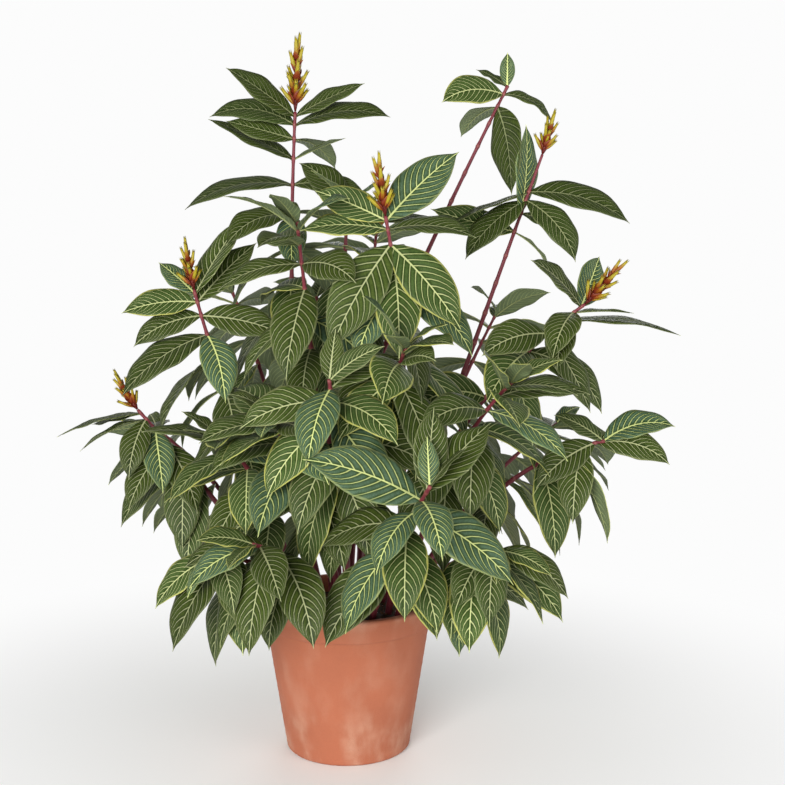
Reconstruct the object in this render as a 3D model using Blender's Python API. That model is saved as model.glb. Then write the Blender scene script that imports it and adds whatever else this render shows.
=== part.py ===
"""A potted sanchezia: a plain clay pot, its soil, leafy stems and flower spikes.

Metres, +Z up. The origin is the centre of the pot's underside, and the plant faces -Y.
"""

import itertools
import math
import random
from collections import namedtuple

import bmesh
import bpy
from mathutils import Vector
from mathutils.bvhtree import BVHTree

# Pot
POT_HEIGHT = 0.340
POT_TOP_RADIUS = 0.200
POT_BASE_RADIUS = 0.138
POT_WALL = 0.012
POT_FLOOR = 0.016
POT_EDGE = 0.004
RIM_HEIGHT = 0.052
RIM_STEP = 0.009
POT_SIDES = 24
DRAIN_HOLES = 4
DRAIN_RADIUS = 0.009
DRAIN_RING_RADIUS = 0.080
DRAIN_SIDES = 8
DRILL_EXTRA = 0.010

# Soil
SOIL_LEVEL = 0.310
SOIL_MOUND = 0.007
SOIL_SHOULDER = 0.72
SOIL_SIDES = 24
GAP = 0.0004

# Stems
STEM_SIDES = 4
STEM_BASE_RADIUS = 0.0080
STEM_TIP_RADIUS = 0.0032
STEM_BURIED = 0.045
STEM_STRAIGHT = 0.030
STEM_STATIONS = 5
CURVE_STEPS = 40

# Leaves
LEAF_LENGTH = 0.208
LEAF_ASPECT = 0.43
LEAF_THICKNESS = 0.0014
LEAF_STATIONS = (0.34, 0.70)
BLADE_END = 0.965
ROOT_CURVE, TIP_CURVE = 0.90, 0.95
DRIP_START, DRIP_WIDTH = 0.88, 0.10
PATH_STEPS = 12
CLEARANCE = 0.0035
NEAR_ROOT = 0.10
FIRST_LEAVES = 0.003
FIRST_LEAVES_UNDER_SPIKE = 0.010
FIRST_INTERNODE = 0.018
INTERNODE_GROWTH = 0.012
FULL_INTERNODE = 0.068
BARE_FOOT = 0.05
BARE_SHARE = 0.40

# A stem with a long bare stalk above its leaves, stems with few leaf pairs, and stems that are
# bare inside the bush.
BARE_STALKS = {"right_upper": 0.085}
LEAF_PAIRS = {
    "right_tall": 3,
    "right_upper": 4,
    "left_tall": 9,
    "right_side": 8,
    "centre_upper": 8,
    "mid_upper": 8,
    "left_inner": 7,
    "centre_inner": 5,
}

# A leaf pair is young at the tip and old by the fifth pair. Stems with a low tip have older leaves.
# Leaves pull outward from the plant's middle and roll to face out.
OLD_PAIR = 5
LOW_TIP = 0.80
PAIRS_LOST_PER_METRE = 8
YOUNG_SPREAD, OLD_SPREAD = 50, 68
YOUNG_LEVEL, OLD_LEVEL = 42, -42
YOUNG_BEND, OLD_BEND = 36, 52
LEVEL_PULL = 0.75
OUTWARD_PULL = 0.3
OUTWARD_REACH = 0.25
FACE_OUT = 38
YOUNG_SIZES = (0.55, 0.80, 0.96)
YOUNG_SIZES_UNDER_SPIKE = (0.76, 0.92)

# How a leaf that has no room is shortened, turned, lifted and rolled, in shares and degrees.
SHRINKS = (1.0, 0.85, 0.7)
TURNS = (0, 14, -14, 28, -28, 42, -42)
LIFTS = (0, 16, -16, 30, -30)
ROLLS = (0, 22, -22)
BEND_PER_LIFT = 0.4

# Flower spikes
SPIKE_SIDES = 5
SPIKE_GUARD_SIDES = 8
TALLEST_SPIKE = 0.160
SPIKE_CORE = ((0.0, 0.0026), (0.16, 0.0085), (0.42, 0.0075), (0.75, 0.0045), (1.0, 0.0020))
FLOWER_SIDES = 3
FLOWERS_PER_METRE = 80
FLOWER_LENGTH = 0.044
FLOWER_LEAN, TOP_FLOWER_LEAN = 46, 8
FLOWER_RADII = (0.0023, 0.0036)
SPIKE_UPTURN = 0.25
GOLDEN_ANGLE = math.radians(137.5)

# A stem starts at its foot on the soil, heads for its knee, and reaches its tip as if it came
# from the knee. Its first leaf pair is turned by so many degrees. A spike of 0 is a stem with
# no flowers.
Shoot = namedtuple("Shoot", "name foot knee tip turn spike")
SHOOTS = (
    Shoot("left_tall", (-0.085, 0.035), (-0.140, 0.020, 0.85), (-0.108, 0.00, 1.405), 20, 0.160),
    Shoot("right_tall", (-0.100, 0.075), (-0.082, 0.040, 0.60), (0.354, 0.09, 1.470), 65, 0.0),
    Shoot("right_upper", (0.075, 0.045), (0.200, 0.030, 0.68), (0.424, 0.02, 1.316), 10, 0.095),
    Shoot("centre_upper", (0.090, -0.040), (0.160, -0.190, 0.80), (0.086, -0.25, 1.180), 15, 0.120),
    Shoot("left_upper", (-0.075, -0.010), (-0.255, -0.060, 0.76), (-0.316, -0.10, 1.030), 70, 0.105),
    Shoot("far_left", (-0.115, -0.030), (-0.280, -0.010, 0.56), (-0.457, -0.02, 0.765), 35, 0.095),
    Shoot("right_side", (0.030, -0.080), (0.230, -0.060, 0.80), (0.501, -0.12, 1.000), 0, 0.120),
    Shoot("far_right", (0.130, -0.010), (0.310, -0.060, 0.66), (0.550, -0.11, 0.710), 30, 0.0),
    Shoot("front_centre", (0.055, -0.095), (0.085, -0.300, 0.50), (0.168, -0.50, 0.690), 0, 0.0),
    Shoot("front_left", (-0.040, -0.100), (-0.070, -0.280, 0.50), (-0.165, -0.41, 0.560), 50, 0.0),
    Shoot("left_front", (-0.090, -0.100), (-0.150, -0.190, 0.64), (-0.235, -0.29, 0.740), 35, 0.0),
    Shoot("low_left", (-0.095, -0.070), (-0.180, -0.210, 0.50), (-0.250, -0.37, 0.530), 20, 0.0),
    Shoot("left_low", (-0.010, -0.060), (-0.050, -0.170, 0.66), (-0.130, -0.33, 0.790), 65, 0.0),
    Shoot("mid_upper", (0.000, 0.030), (-0.020, 0.000, 0.80), (0.005, -0.06, 1.210), 35, 0.0),
    Shoot("left_inner", (-0.035, 0.030), (-0.060, -0.060, 0.80), (-0.090, -0.22, 1.170), 80, 0.0),
    Shoot("centre_inner", (0.030, -0.025), (0.070, -0.160, 0.76), (0.125, -0.36, 0.930), 40, 0.0),
    Shoot("right_inner", (0.110, -0.070), (0.200, -0.170, 0.70), (0.330, -0.33, 0.860), 75, 0.0),
    Shoot("mid_front", (0.005, -0.125), (0.000, -0.240, 0.62), (-0.020, -0.37, 0.870), 60, 0.0),
    Shoot("low_right", (0.122, -0.045), (0.220, -0.200, 0.50), (0.310, -0.38, 0.540), 10, 0.0),
    Shoot("back_left", (-0.065, 0.105), (-0.160, 0.220, 0.70), (-0.300, 0.36, 1.020), 30, 0.0),
    Shoot("back_centre", (0.000, 0.090), (0.030, 0.220, 0.80), (0.060, 0.38, 1.150), 75, 0.100),
    Shoot("back_right", (0.075, 0.100), (0.200, 0.220, 0.68), (0.360, 0.36, 0.960), 15, 0.0),
    Shoot("back_inner", (-0.025, 0.140), (-0.050, 0.170, 0.75), (-0.080, 0.23, 1.000), 45, 0.0),
    Shoot("back_low_left", (-0.125, 0.030), (-0.270, 0.140, 0.56), (-0.470, 0.26, 0.680), 55, 0.0),
    Shoot("back_low_right", (0.125, 0.040), (0.290, 0.150, 0.58), (0.500, 0.28, 0.690), 0, 0.0),
    Shoot("back_low", (0.020, 0.120), (0.030, 0.290, 0.57), (0.030, 0.50, 0.680), 40, 0.0),
)

# Leaves set by hand, for a stem and its leaf pairs counted from the tip: heading, rise at the
# root, bend and roll in degrees, and length. A heading of 0 is along +X, and -90 faces the front.
AIMED = {
    ("front_centre", 0): ((100, 75, 10, 0, 0.095), (20, 55, 25, 20, 0.100)),
    ("front_centre", 1): ((75, 72, 18, 10, 0.165), (35, 60, 25, 45, 0.195)),
    ("front_centre", 2): ((195, 32, 25, -60, 0.240), (-75, -5, 60, 5, 0.165)),
    ("front_centre", 3): ((-15, -20, 35, 45, 0.230), (-125, -10, 60, -10, 0.165)),
    ("front_centre", 4): ((-95, -25, 55, 0, 0.205), (160, 5, 55, -40, 0.200)),
    ("front_centre", 5): ((-50, -30, 50, 15, 0.200), (-140, -30, 50, -15, 0.210)),
    ("mid_front", 0): ((80, 65, 10, 0, 0.110), (-20, 45, 30, 30, 0.130)),
    ("mid_front", 1): ((-105, -20, 50, 0, 0.195), (30, 20, 40, 30, 0.170)),
    ("mid_front", 2): ((200, 5, 45, -50, 0.190), (-40, 0, 50, 30, 0.190)),
    ("centre_upper", 0): ((30, 62, 20, 50, 0.215), (160, 42, 18, -55, 0.170)),
    ("centre_upper", 1): ((-20, 12, 40, 25, 0.185), (185, 12, 30, -60, 0.175)),
    ("centre_upper", 2): ((-141, -46, 20, -45, 0.250), (-30, -38, 20, 50, 0.225)),
    ("right_tall", 0): ((85, 80, 10, 0, 0.080), (165, 40, 25, -30, 0.080)),
    ("right_tall", 1): ((212, 12, 50, -60, 0.175), (10, 0, 75, 30, 0.150)),
    ("right_tall", 2): ((-70, -50, 35, 65, 0.220), (120, 0, 50, 0, 0.160)),
    ("right_upper", 0): ((-5, 2, 45, 35, 0.235), (190, 12, 20, 20, 0.200)),
    ("right_upper", 1): ((-40, -25, 50, 25, 0.190), (205, -10, 40, -45, 0.200)),
    ("right_upper", 2): ((150, 70, 5, -10, 0.190), (-25, -15, 20, 0, 0.130)),
    ("right_upper", 3): ((175, 42, 5, -50, 0.190), (0, -30, 40, 0, 0.120)),
    ("left_tall", 0): ((205, 36, 12, -55, 0.180), (-5, 30, 12, 35, 0.165)),
    ("left_tall", 1): ((-15, 22, 45, 30, 0.220), (172, 32, 62, -40, 0.195)),
    ("left_tall", 2): ((60, 5, 60, 0, 0.170), (190, 32, 10, -50, 0.150)),
    ("left_tall", 3): ((15, 42, 15, 15, 0.125), (178, 30, 12, -25, 0.200)),
    ("left_tall", 4): ((-8, 8, 45, 35, 0.175), (186, 8, 50, -20, 0.245)),
    ("left_tall", 5): ((-88, -30, 45, 0, 0.155), (222, 5, 60, -25, 0.195)),
    ("far_left", 0): ((187, -5, 25, 0, 0.190), (172, 15, 10, 10, 0.130)),
    ("far_left", 1): ((195, -10, 35, -20, 0.160), (-110, -35, 45, -10, 0.150)),
    ("far_left", 2): ((-75, -35, 45, 5, 0.160), (100, 10, 45, 0, 0.160)),
    ("far_left", 3): ((-125, -30, 40, -15, 0.180), (-50, -35, 40, 20, 0.180)),
    ("far_left", 4): ((195, -25, 45, -25, 0.200), (-85, -35, 45, 5, 0.195)),
    ("far_left", 5): ((-115, -35, 45, -5, 0.190), (150, -20, 50, 0, 0.190)),
    ("left_upper", 0): ((150, 38, 12, -55, 0.120), (35, 58, 10, 30, 0.200)),
    ("left_upper", 1): ((190, 5, 30, -55, 0.160), (40, 45, 10, 35, 0.190)),
    ("left_upper", 2): ((185, -5, 45, -50, 0.160), (-5, -2, 25, 55, 0.180)),
    ("left_upper", 3): ((215, -15, 40, -45, 0.230), (-60, -30, 45, 10, 0.180)),
    ("right_side", 0): ((60, 60, 15, 30, 0.160), (-150, 50, 30, -50, 0.165)),
    ("right_side", 1): ((-115, -10, 50, -10, 0.170), (5, 5, 15, 0, 0.130)),
    ("right_side", 2): ((-2, 5, 28, 5, 0.250), (-100, -20, 45, 0, 0.150)),
    ("right_side", 3): ((215, 5, 40, -55, 0.185), (-30, -50, 20, 20, 0.190)),
    ("far_right", 0): ((10, 35, 60, 40, 0.170), (170, 40, 30, -40, 0.120)),
    ("far_right", 1): ((-5, 10, 60, 50, 0.170), (205, -15, 40, -50, 0.170)),
    ("far_right", 2): ((-110, -40, 40, 0, 0.180), (60, 0, 50, 0, 0.190)),
}

# A leaf: where it leaves its stem, its heading and rise at the root, how far it bends down and
# sways, its roll about its rib, its length and how far it is folded. Angles are in radians.
Leaf = namedtuple("Leaf", "root heading rise bend sway roll length fold")


def angle_between(a, b):
    """The turn from angle b to angle a, within half a turn either way."""
    return (a - b + math.pi) % (2 * math.pi) - math.pi


def smoothstep(x):
    x = min(1.0, max(0.0, x))
    return x * x * (3 - 2 * x)


def leaf_half_width(t):
    """Half the blade's width at t along the rib, as a share of its widest half."""
    blade = min(1.0, t / BLADE_END)
    widest = ROOT_CURVE / (ROOT_CURVE + TIP_CURVE)
    body = (blade / widest) ** ROOT_CURVE * ((1 - blade) / (1 - widest)) ** TIP_CURVE
    drip = DRIP_WIDTH * (1 - t) / (1 - DRIP_START) if t > DRIP_START else 0.0
    return max(body, drip)


def stem_curve(shoot):
    """Points close together from the buried end, straight through the soil, then on to the tip."""
    foot = Vector((*shoot.foot, SOIL_LEVEL))
    knee, tip = Vector(shoot.knee), Vector(shoot.tip)
    start = (knee - foot).normalized()
    above = foot + start * STEM_STRAIGHT
    curve = [foot - start * STEM_BURIED]
    for i in range(CURVE_STEPS + 1):
        t = i / CURVE_STEPS
        curve.append(above * (1 - t) ** 2 + knee * 2 * t * (1 - t) + tip * t * t)
    return curve


def curve_length(curve):
    return sum((b - a).length for a, b in zip(curve, curve[1:]))


def at_length(curve, wanted):
    """The point and direction at a length along a curve of points."""
    for a, b in zip(curve, curve[1:]):
        step = (b - a).length
        if wanted <= step:
            return a.lerp(b, wanted / step), (b - a).normalized()
        wanted -= step
    return curve[-1].copy(), (curve[-1] - curve[-2]).normalized()


def stem_radius(share):
    """The stem's radius at a share of its length above the soil."""
    return STEM_BASE_RADIUS + (STEM_TIP_RADIUS - STEM_BASE_RADIUS) * share**1.1


def across(direction):
    """Two unit vectors square to a direction and to each other."""
    side = direction.cross(Vector((0, 1, 0)))
    if side.length < 0.2:
        side = direction.cross(Vector((1, 0, 0)))
    side.normalize()
    return side, direction.cross(side)


def tube_shell(centres, radii, sides, spin=0.0, apex=None):
    """Points and triangles of a closed tube through the centres. With an apex it starts there, at a
    point, and not with a flat end."""
    points = []
    for i, centre in enumerate(centres):
        before, after = centres[max(i - 1, 0)], centres[min(i + 1, len(centres) - 1)]
        u, v = across((after - before).normalized())
        for k in range(sides):
            angle = spin + 2 * math.pi * k / sides
            points.append(centre + (u * math.cos(angle) + v * math.sin(angle)) * radii[i])
    triangles = []
    for i in range(len(centres) - 1):
        for k in range(sides):
            a, b = i * sides + k, i * sides + (k + 1) % sides
            triangles += [(a, b, b + sides), (a, b + sides, a + sides)]
    last = (len(centres) - 1) * sides
    triangles += [(last, last + k, last + k + 1) for k in range(1, sides - 1)]
    if apex is None:
        triangles += [(0, k + 1, k) for k in range(1, sides - 1)]
    else:
        points.append(apex)
        triangles += [(len(points) - 1, (k + 1) % sides, k) for k in range(sides)]
    return points, triangles


def stem_spin(shoot):
    """The stem is four-angled, and its leaf pairs grow from the middle of its faces."""
    return math.radians(shoot.turn + 45)


def stem_shell(shoot):
    """The stem as a tapered tube from its buried end to its tip."""
    curve = stem_curve(shoot)
    length = curve_length(curve)
    straight = STEM_BURIED + STEM_STRAIGHT
    lengths = [0.0]
    lengths += [straight + (length - straight) * i / STEM_STATIONS for i in range(STEM_STATIONS + 1)]
    centres = [at_length(curve, s)[0] for s in lengths]
    radii = [stem_radius(max(0.0, s - straight) / (length - straight)) for s in lengths]
    return tube_shell(centres, radii, STEM_SIDES, stem_spin(shoot))


def leaf_path(leaf):
    """(point, direction, side, normal) at each step along the rib."""
    step = leaf.length / PATH_STEPS
    point = leaf.root.copy()
    frames = []
    for i in range(PATH_STEPS + 1):
        t = i / PATH_STEPS
        rise = leaf.rise - leaf.bend * t**1.15
        heading = leaf.heading + leaf.sway * t
        ahead = Vector((math.cos(heading), math.sin(heading), 0))
        direction = ahead * math.cos(rise) + Vector((0, 0, math.sin(rise)))
        level = Vector((-math.sin(heading), math.cos(heading), 0))
        normal = direction.cross(level)
        side = level * math.cos(leaf.roll) + normal * math.sin(leaf.roll)
        frames.append((point.copy(), direction, side, direction.cross(side)))
        point += direction * step
    return frames


def frame_at(frames, t):
    """The frame at a share t of the rib, between the two nearest steps."""
    place = t * (len(frames) - 1)
    i = min(int(place), len(frames) - 2)
    return [a.lerp(b, place - i) for a, b in zip(frames[i], frames[i + 1])]


def leaf_shell(leaf, thickness, start=0.0):
    """Points and triangles of a closed blade: the rib's top and underside at its start, then left
    edge, rib top, right edge and rib underside at each station, then the tip. Both faces are split
    into triangles alike."""
    frames = leaf_path(leaf)
    point, _, _, normal = frame_at(frames, start)
    points = [point + normal * thickness / 2, point - normal * thickness / 2]
    for t in LEAF_STATIONS:
        point, _, side, normal = frame_at(frames, t)
        width = leaf.length * LEAF_ASPECT / 2 * leaf_half_width(t)
        out = side * width * math.cos(leaf.fold)
        lift = normal * width * math.sin(leaf.fold)
        rib = normal * thickness / 2
        points += [point + out + lift, point + rib, point - out + lift, point - rib]
    points.append(frames[-1][0])
    triangles = [(0, 2, 1), (0, 3, 2), (0, 4, 3), (0, 1, 4), (1, 5, 4), (1, 2, 5)]
    last, tip = len(points) - 5, len(points) - 1
    for i in range(2, last, 4):
        for k in range(4):
            a, b = i + k, i + (k + 1) % 4
            if k % 2 == 0:
                triangles += [(a, b, b + 4), (a, b + 4, a + 4)]
            else:
                triangles += [(a, b, a + 4), (b, b + 4, a + 4)]
    triangles += [(last + k, last + (k + 1) % 4, tip) for k in range(4)]
    return points, triangles


def spike_curve(shoot):
    """The foot and direction of the flower spike on the stem's tip."""
    curve = stem_curve(shoot)
    direction = (curve[-1] - curve[-2]).normalized()
    up = Vector((0, 0, 1))
    return curve[-1] + direction * GAP, direction.lerp(up, SPIKE_UPTURN).normalized()


def flower_size(shoot):
    """The flowers of a short spike are smaller than those of the tallest."""
    return 0.62 + 0.38 * shoot.spike / TALLEST_SPIKE


def spike_guard(shoot):
    """A spindle round the flower spike that the leaves keep clear of."""
    foot, direction = spike_curve(shoot)
    centres = [foot + direction * shoot.spike * s for s in (0.0, 0.35, 1.02)]
    widest = 0.90 * FLOWER_LENGTH * flower_size(shoot)
    return tube_shell(centres, [0.004, widest, 0.011], SPIKE_GUARD_SIDES)


def pot_guard():
    """The pot's outline that the hanging leaves keep clear of."""
    levels = (0.0, POT_HEIGHT + 0.004)
    centres = [Vector((0, 0, z)) for z in levels]
    return tube_shell(centres, [POT_BASE_RADIUS + 0.004, POT_TOP_RADIUS + 0.004], POT_SIDES)


def wanted_leaf(shoot, curve, down, side_turn, order, draw):
    """The leaf that wants to grow at a length down from the tip, before it makes room for others."""
    point, direction = at_length(curve, curve_length(curve) - down)
    u, v = across(direction)
    radial = u * math.cos(side_turn) + v * math.sin(side_turn)
    low = max(0.0, LOW_TIP - shoot.tip[2]) * PAIRS_LOST_PER_METRE
    age = smoothstep((order + low) / OLD_PAIR)
    spread = math.radians(YOUNG_SPREAD + (OLD_SPREAD - YOUNG_SPREAD) * age)
    start = direction * math.cos(spread) + radial * math.sin(spread)
    heading = math.atan2(start.y, start.x)
    outward = math.atan2(point.y, point.x)
    reach = min(1.0, math.hypot(point.x, point.y) / OUTWARD_REACH)
    heading = outward + angle_between(heading, outward) * (1 - OUTWARD_PULL * reach)
    level = math.radians(YOUNG_LEVEL + (OLD_LEVEL - YOUNG_LEVEL) * age)
    bend = YOUNG_BEND + (OLD_BEND - YOUNG_BEND) * age
    young = YOUNG_SIZES_UNDER_SPIKE if shoot.spike else YOUNG_SIZES
    size = young[order] if order < len(young) else 1.0
    return Leaf(
        root=point,
        heading=heading + math.radians(draw.uniform(-10, 10)),
        rise=(1 - LEVEL_PULL) * math.asin(start.z)
        + LEVEL_PULL * level
        + math.radians(draw.uniform(-8, 8)),
        bend=math.radians(bend + draw.uniform(-10, 10)),
        sway=math.radians(draw.uniform(-12, 12)),
        roll=math.radians(draw.uniform(-16, 16) - FACE_OUT * reach * math.sin(outward - heading)),
        length=LEAF_LENGTH * size * draw.uniform(0.86, 1.10),
        fold=math.radians(draw.uniform(6, 14)),
    )


def aimed_leaf(leaf, heading, rise, bend, roll, length):
    """A leaf turned to an aim that was set by hand."""
    return leaf._replace(
        heading=math.radians(heading),
        rise=math.radians(rise),
        bend=math.radians(bend),
        roll=math.radians(roll),
        length=length,
    )


def wanted_leaves():
    """(stem's name, leaf) for every leaf, those set by hand first."""
    aimed, others = [], []
    for number, shoot in enumerate(SHOOTS):
        draw = random.Random(100 + number)
        curve = stem_curve(shoot)
        length = curve_length(curve) - STEM_BURIED
        first = FIRST_LEAVES_UNDER_SPIKE if shoot.spike else FIRST_LEAVES
        down, order = BARE_STALKS.get(shoot.name, first), 0
        pairs = LEAF_PAIRS.get(shoot.name, math.inf)
        while order < pairs and down < length - BARE_FOOT - BARE_SHARE * length:
            turn = math.radians(shoot.turn + 90 * (order % 2) + draw.uniform(-10, 10))
            pair = [wanted_leaf(shoot, curve, down, turn + s, order, draw) for s in (0.0, math.pi)]
            aims = AIMED.get((shoot.name, order))
            if aims:
                aimed += [(shoot.name, aimed_leaf(leaf, *aim)) for leaf, aim in zip(pair, aims)]
            else:
                others += [(shoot.name, leaf) for leaf in pair]
            down += min(FULL_INTERNODE, FIRST_INTERNODE + INTERNODE_GROWTH * order)
            order += 1
    return aimed + others


def bent_leaves(leaf):
    """The leaf as it wants to grow, then turned, bent and shortened more and more to find room."""
    yield leaf
    for shrink, turn, lift, roll in itertools.product(SHRINKS, TURNS, LIFTS, ROLLS):
        yield leaf._replace(
            heading=leaf.heading + math.radians(turn),
            rise=leaf.rise + math.radians(lift),
            bend=leaf.bend + math.radians(lift * BEND_PER_LIFT),
            roll=leaf.roll + math.radians(roll),
            length=leaf.length * shrink,
        )


class Placed:
    """A shell in its place, with its box for quick tests."""

    def __init__(self, shell):
        points, triangles = shell
        self.tree = BVHTree.FromPolygons(points, triangles)
        self.low = [min(p[k] for p in points) for k in range(3)]
        self.high = [max(p[k] for p in points) for k in range(3)]

    def meets(self, other):
        for k in range(3):
            if self.low[k] > other.high[k] or other.low[k] > self.high[k]:
                return False
        return bool(self.tree.overlap(other.tree))


def finds_room(leaf, owner, solids, leaves):
    """Whether a leaf is clear of every solid but its own stem, and of every leaf so far. Leaves of
    one stem may come close to each other at their roots."""
    thickness = LEAF_THICKNESS + 2 * CLEARANCE
    whole = Placed(leaf_shell(leaf, thickness))
    if any(name != owner and whole.meets(solid) for name, solid in solids):
        return False
    if any(name != owner and whole.meets(other) for name, other, _ in leaves):
        return False
    blade = Placed(leaf_shell(leaf, thickness, NEAR_ROOT))
    return not any(name == owner and blade.meets(other) for name, _, other in leaves)


def lay_out_leaves():
    """{stem's name: its leaves}, each bent clear of the pot, stems, spikes and leaves before it."""
    solids = [("pot", Placed(pot_guard()))]
    for shoot in SHOOTS:
        solids.append((shoot.name, Placed(stem_shell(shoot))))
        if shoot.spike:
            solids.append(("spike", Placed(spike_guard(shoot))))
    placed = []
    found = {shoot.name: [] for shoot in SHOOTS}
    for name, wanted in wanted_leaves():
        for leaf in bent_leaves(wanted):
            if finds_room(leaf, name, solids, placed):
                whole = Placed(leaf_shell(leaf, LEAF_THICKNESS))
                blade = Placed(leaf_shell(leaf, LEAF_THICKNESS, NEAR_ROOT))
                placed.append((name, whole, blade))
                found[name].append(leaf)
                break
    return found


def spike_shells(shoot):
    """The spike's core, swollen where its bracts sit, and its tubular flowers round it."""
    foot, direction = spike_curve(shoot)
    u, v = across(direction)
    core_height = shoot.spike - 0.6 * FLOWER_LENGTH
    centres = [foot + direction * core_height * share for share, _ in SPIKE_CORE]
    shells = [tube_shell(centres, [radius for _, radius in SPIKE_CORE], SPIKE_SIDES)]
    size = flower_size(shoot)
    count = round(FLOWERS_PER_METRE * shoot.spike)
    for i in range(count):
        share = i / (count - 1)
        angle = i * GOLDEN_ANGLE
        lean = math.radians(FLOWER_LEAN + (TOP_FLOWER_LEAN - FLOWER_LEAN) * share)
        radial = u * math.cos(angle) + v * math.sin(angle)
        ahead = direction * math.cos(lean) + radial * math.sin(lean)
        reach = FLOWER_LENGTH * size * (1 - 0.3 * share)
        root = foot + direction * core_height * (0.10 + 0.84 * share**1.2)
        bent = root + ahead * reach * 0.55
        mouth = bent + (ahead + direction * 0.25).normalized() * reach * 0.45
        radii = [radius * size for radius in FLOWER_RADII]
        shells.append(tube_shell([bent, mouth], radii, FLOWER_SIDES, angle, apex=root))
    return shells


def new_object(name, mesh, collection=None):
    obj = bpy.data.objects.new(name, mesh)
    (collection or bpy.context.scene.collection).objects.link(obj)
    return obj


def object_of(name, shell, material, collection=None):
    points, triangles = shell
    mesh = bpy.data.meshes.new(name)
    mesh.from_pydata([tuple(p) for p in points], [], triangles)
    mesh.materials.append(material)
    return new_object(name, mesh, collection)


def apply_boolean(obj, operation, collection, solver):
    """Joins or cuts an object with every object of a collection, then removes the collection."""
    modifier = obj.modifiers.new(operation.title(), "BOOLEAN")
    modifier.operation = operation
    modifier.operand_type = "COLLECTION"
    modifier.collection = collection
    modifier.solver = solver
    graph = bpy.context.evaluated_depsgraph_get()
    mesh = bpy.data.meshes.new_from_object(obj.evaluated_get(graph))
    obj.modifiers.clear()
    obj.data = mesh
    for other in list(collection.objects):
        bpy.data.objects.remove(other)
    bpy.data.collections.remove(collection)


def helper_collection(name):
    collection = bpy.data.collections.new(name)
    bpy.context.scene.collection.children.link(collection)
    return collection


def drill_of(name, ends, radius, sides, spin, material, collection):
    """A cutter along a line, shown as a wire."""
    drill = object_of(name, tube_shell(ends, [radius] * 2, sides, spin), material, collection)
    drill.hide_render = True
    drill.display_type = "WIRE"


def lathe(name, profile, sides, material):
    """A solid turned round Z from (radius, height) points that start and end on the axis."""
    bm = bmesh.new()
    verts = [bm.verts.new((radius, 0, height)) for radius, height in profile]
    edges = [bm.edges.new(pair) for pair in zip(verts, verts[1:])]
    bmesh.ops.spin(
        bm,
        geom=verts + edges,
        cent=(0, 0, 0),
        axis=(0, 0, 1),
        angle=2 * math.pi,
        steps=sides,
        use_merge=True,
    )
    bmesh.ops.remove_doubles(bm, verts=bm.verts, dist=0.00001)
    bmesh.ops.recalc_face_normals(bm, faces=bm.faces)
    mesh = bpy.data.meshes.new(name)
    bm.to_mesh(mesh)
    bm.free()
    mesh.materials.append(material)
    mesh.shade_smooth()
    mesh.set_sharp_from_angle(angle=math.radians(35))
    return new_object(name, mesh)


def wall_radius(height):
    """The outer radius of the pot's tapered body at a height."""
    top = POT_TOP_RADIUS - RIM_STEP
    return POT_BASE_RADIUS + (top - POT_BASE_RADIUS) * height / POT_HEIGHT


def inner_radius(height):
    return wall_radius(height) - POT_WALL


def make_pot(material):
    """A tapered pot with a thick rim and drain holes in its flat floor."""
    rim_foot = POT_HEIGHT - RIM_HEIGHT
    inner_top = inner_radius(POT_HEIGHT - POT_EDGE)
    profile = [
        (0, 0),
        (POT_BASE_RADIUS - POT_EDGE, 0),
        (wall_radius(POT_EDGE), POT_EDGE),
        (wall_radius(rim_foot), rim_foot),
        (wall_radius(rim_foot) + RIM_STEP * 0.7, rim_foot + POT_EDGE * 0.5),
        (POT_TOP_RADIUS, POT_HEIGHT - POT_EDGE),
        (POT_TOP_RADIUS - POT_EDGE, POT_HEIGHT),
        (inner_top + POT_EDGE, POT_HEIGHT),
        (inner_top, POT_HEIGHT - POT_EDGE),
        (inner_radius(POT_FLOOR), POT_FLOOR),
        (0, POT_FLOOR),
    ]
    pot = lathe("pot", profile, POT_SIDES, material)
    drills = helper_collection("drain_holes")
    for i in range(DRAIN_HOLES):
        turn = 2 * math.pi * (i + 0.5) / DRAIN_HOLES
        x, y = DRAIN_RING_RADIUS * math.cos(turn), DRAIN_RING_RADIUS * math.sin(turn)
        ends = [Vector((x, y, -DRILL_EXTRA)), Vector((x, y, POT_FLOOR + DRILL_EXTRA))]
        drill_of(f"drain_{i}", ends, DRAIN_RADIUS, DRAIN_SIDES, 0.0, material, drills)
    apply_boolean(pot, "DIFFERENCE", drills, "EXACT")


def make_soil(material):
    """The soil fills the pot to a low mound, with a plain hole for each stem."""
    edge = inner_radius(SOIL_LEVEL - SOIL_MOUND) - GAP
    profile = [
        (0, POT_FLOOR + GAP),
        (inner_radius(POT_FLOOR) - GAP, POT_FLOOR + GAP),
        (edge, SOIL_LEVEL - SOIL_MOUND),
        (edge * SOIL_SHOULDER, SOIL_LEVEL),
        (0, SOIL_LEVEL + SOIL_MOUND),
    ]
    soil = lathe("soil", profile, SOIL_SIDES, material)
    drills = helper_collection("stem_holes")
    for shoot in SHOOTS:
        curve = stem_curve(shoot)
        ahead = (curve[1] - curve[0]).normalized()
        ends = [curve[0] - ahead * GAP, curve[1]]
        wide = STEM_BASE_RADIUS + GAP / math.cos(math.pi / STEM_SIDES)
        drill_of("hole_" + shoot.name, ends, wide, STEM_SIDES, stem_spin(shoot), material, drills)
    apply_boolean(soil, "DIFFERENCE", drills, "EXACT")


def make_shoot(shoot, leaves, bark, green):
    """A stem with its leaves joined into it."""
    stem = object_of("stem_" + shoot.name, stem_shell(shoot), bark)
    blades = helper_collection("leaves_" + shoot.name)
    for i, leaf in enumerate(leaves):
        object_of(f"leaf_{shoot.name}_{i}", leaf_shell(leaf, LEAF_THICKNESS), green, blades)
    apply_boolean(stem, "UNION", blades, "MANIFOLD")


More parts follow.
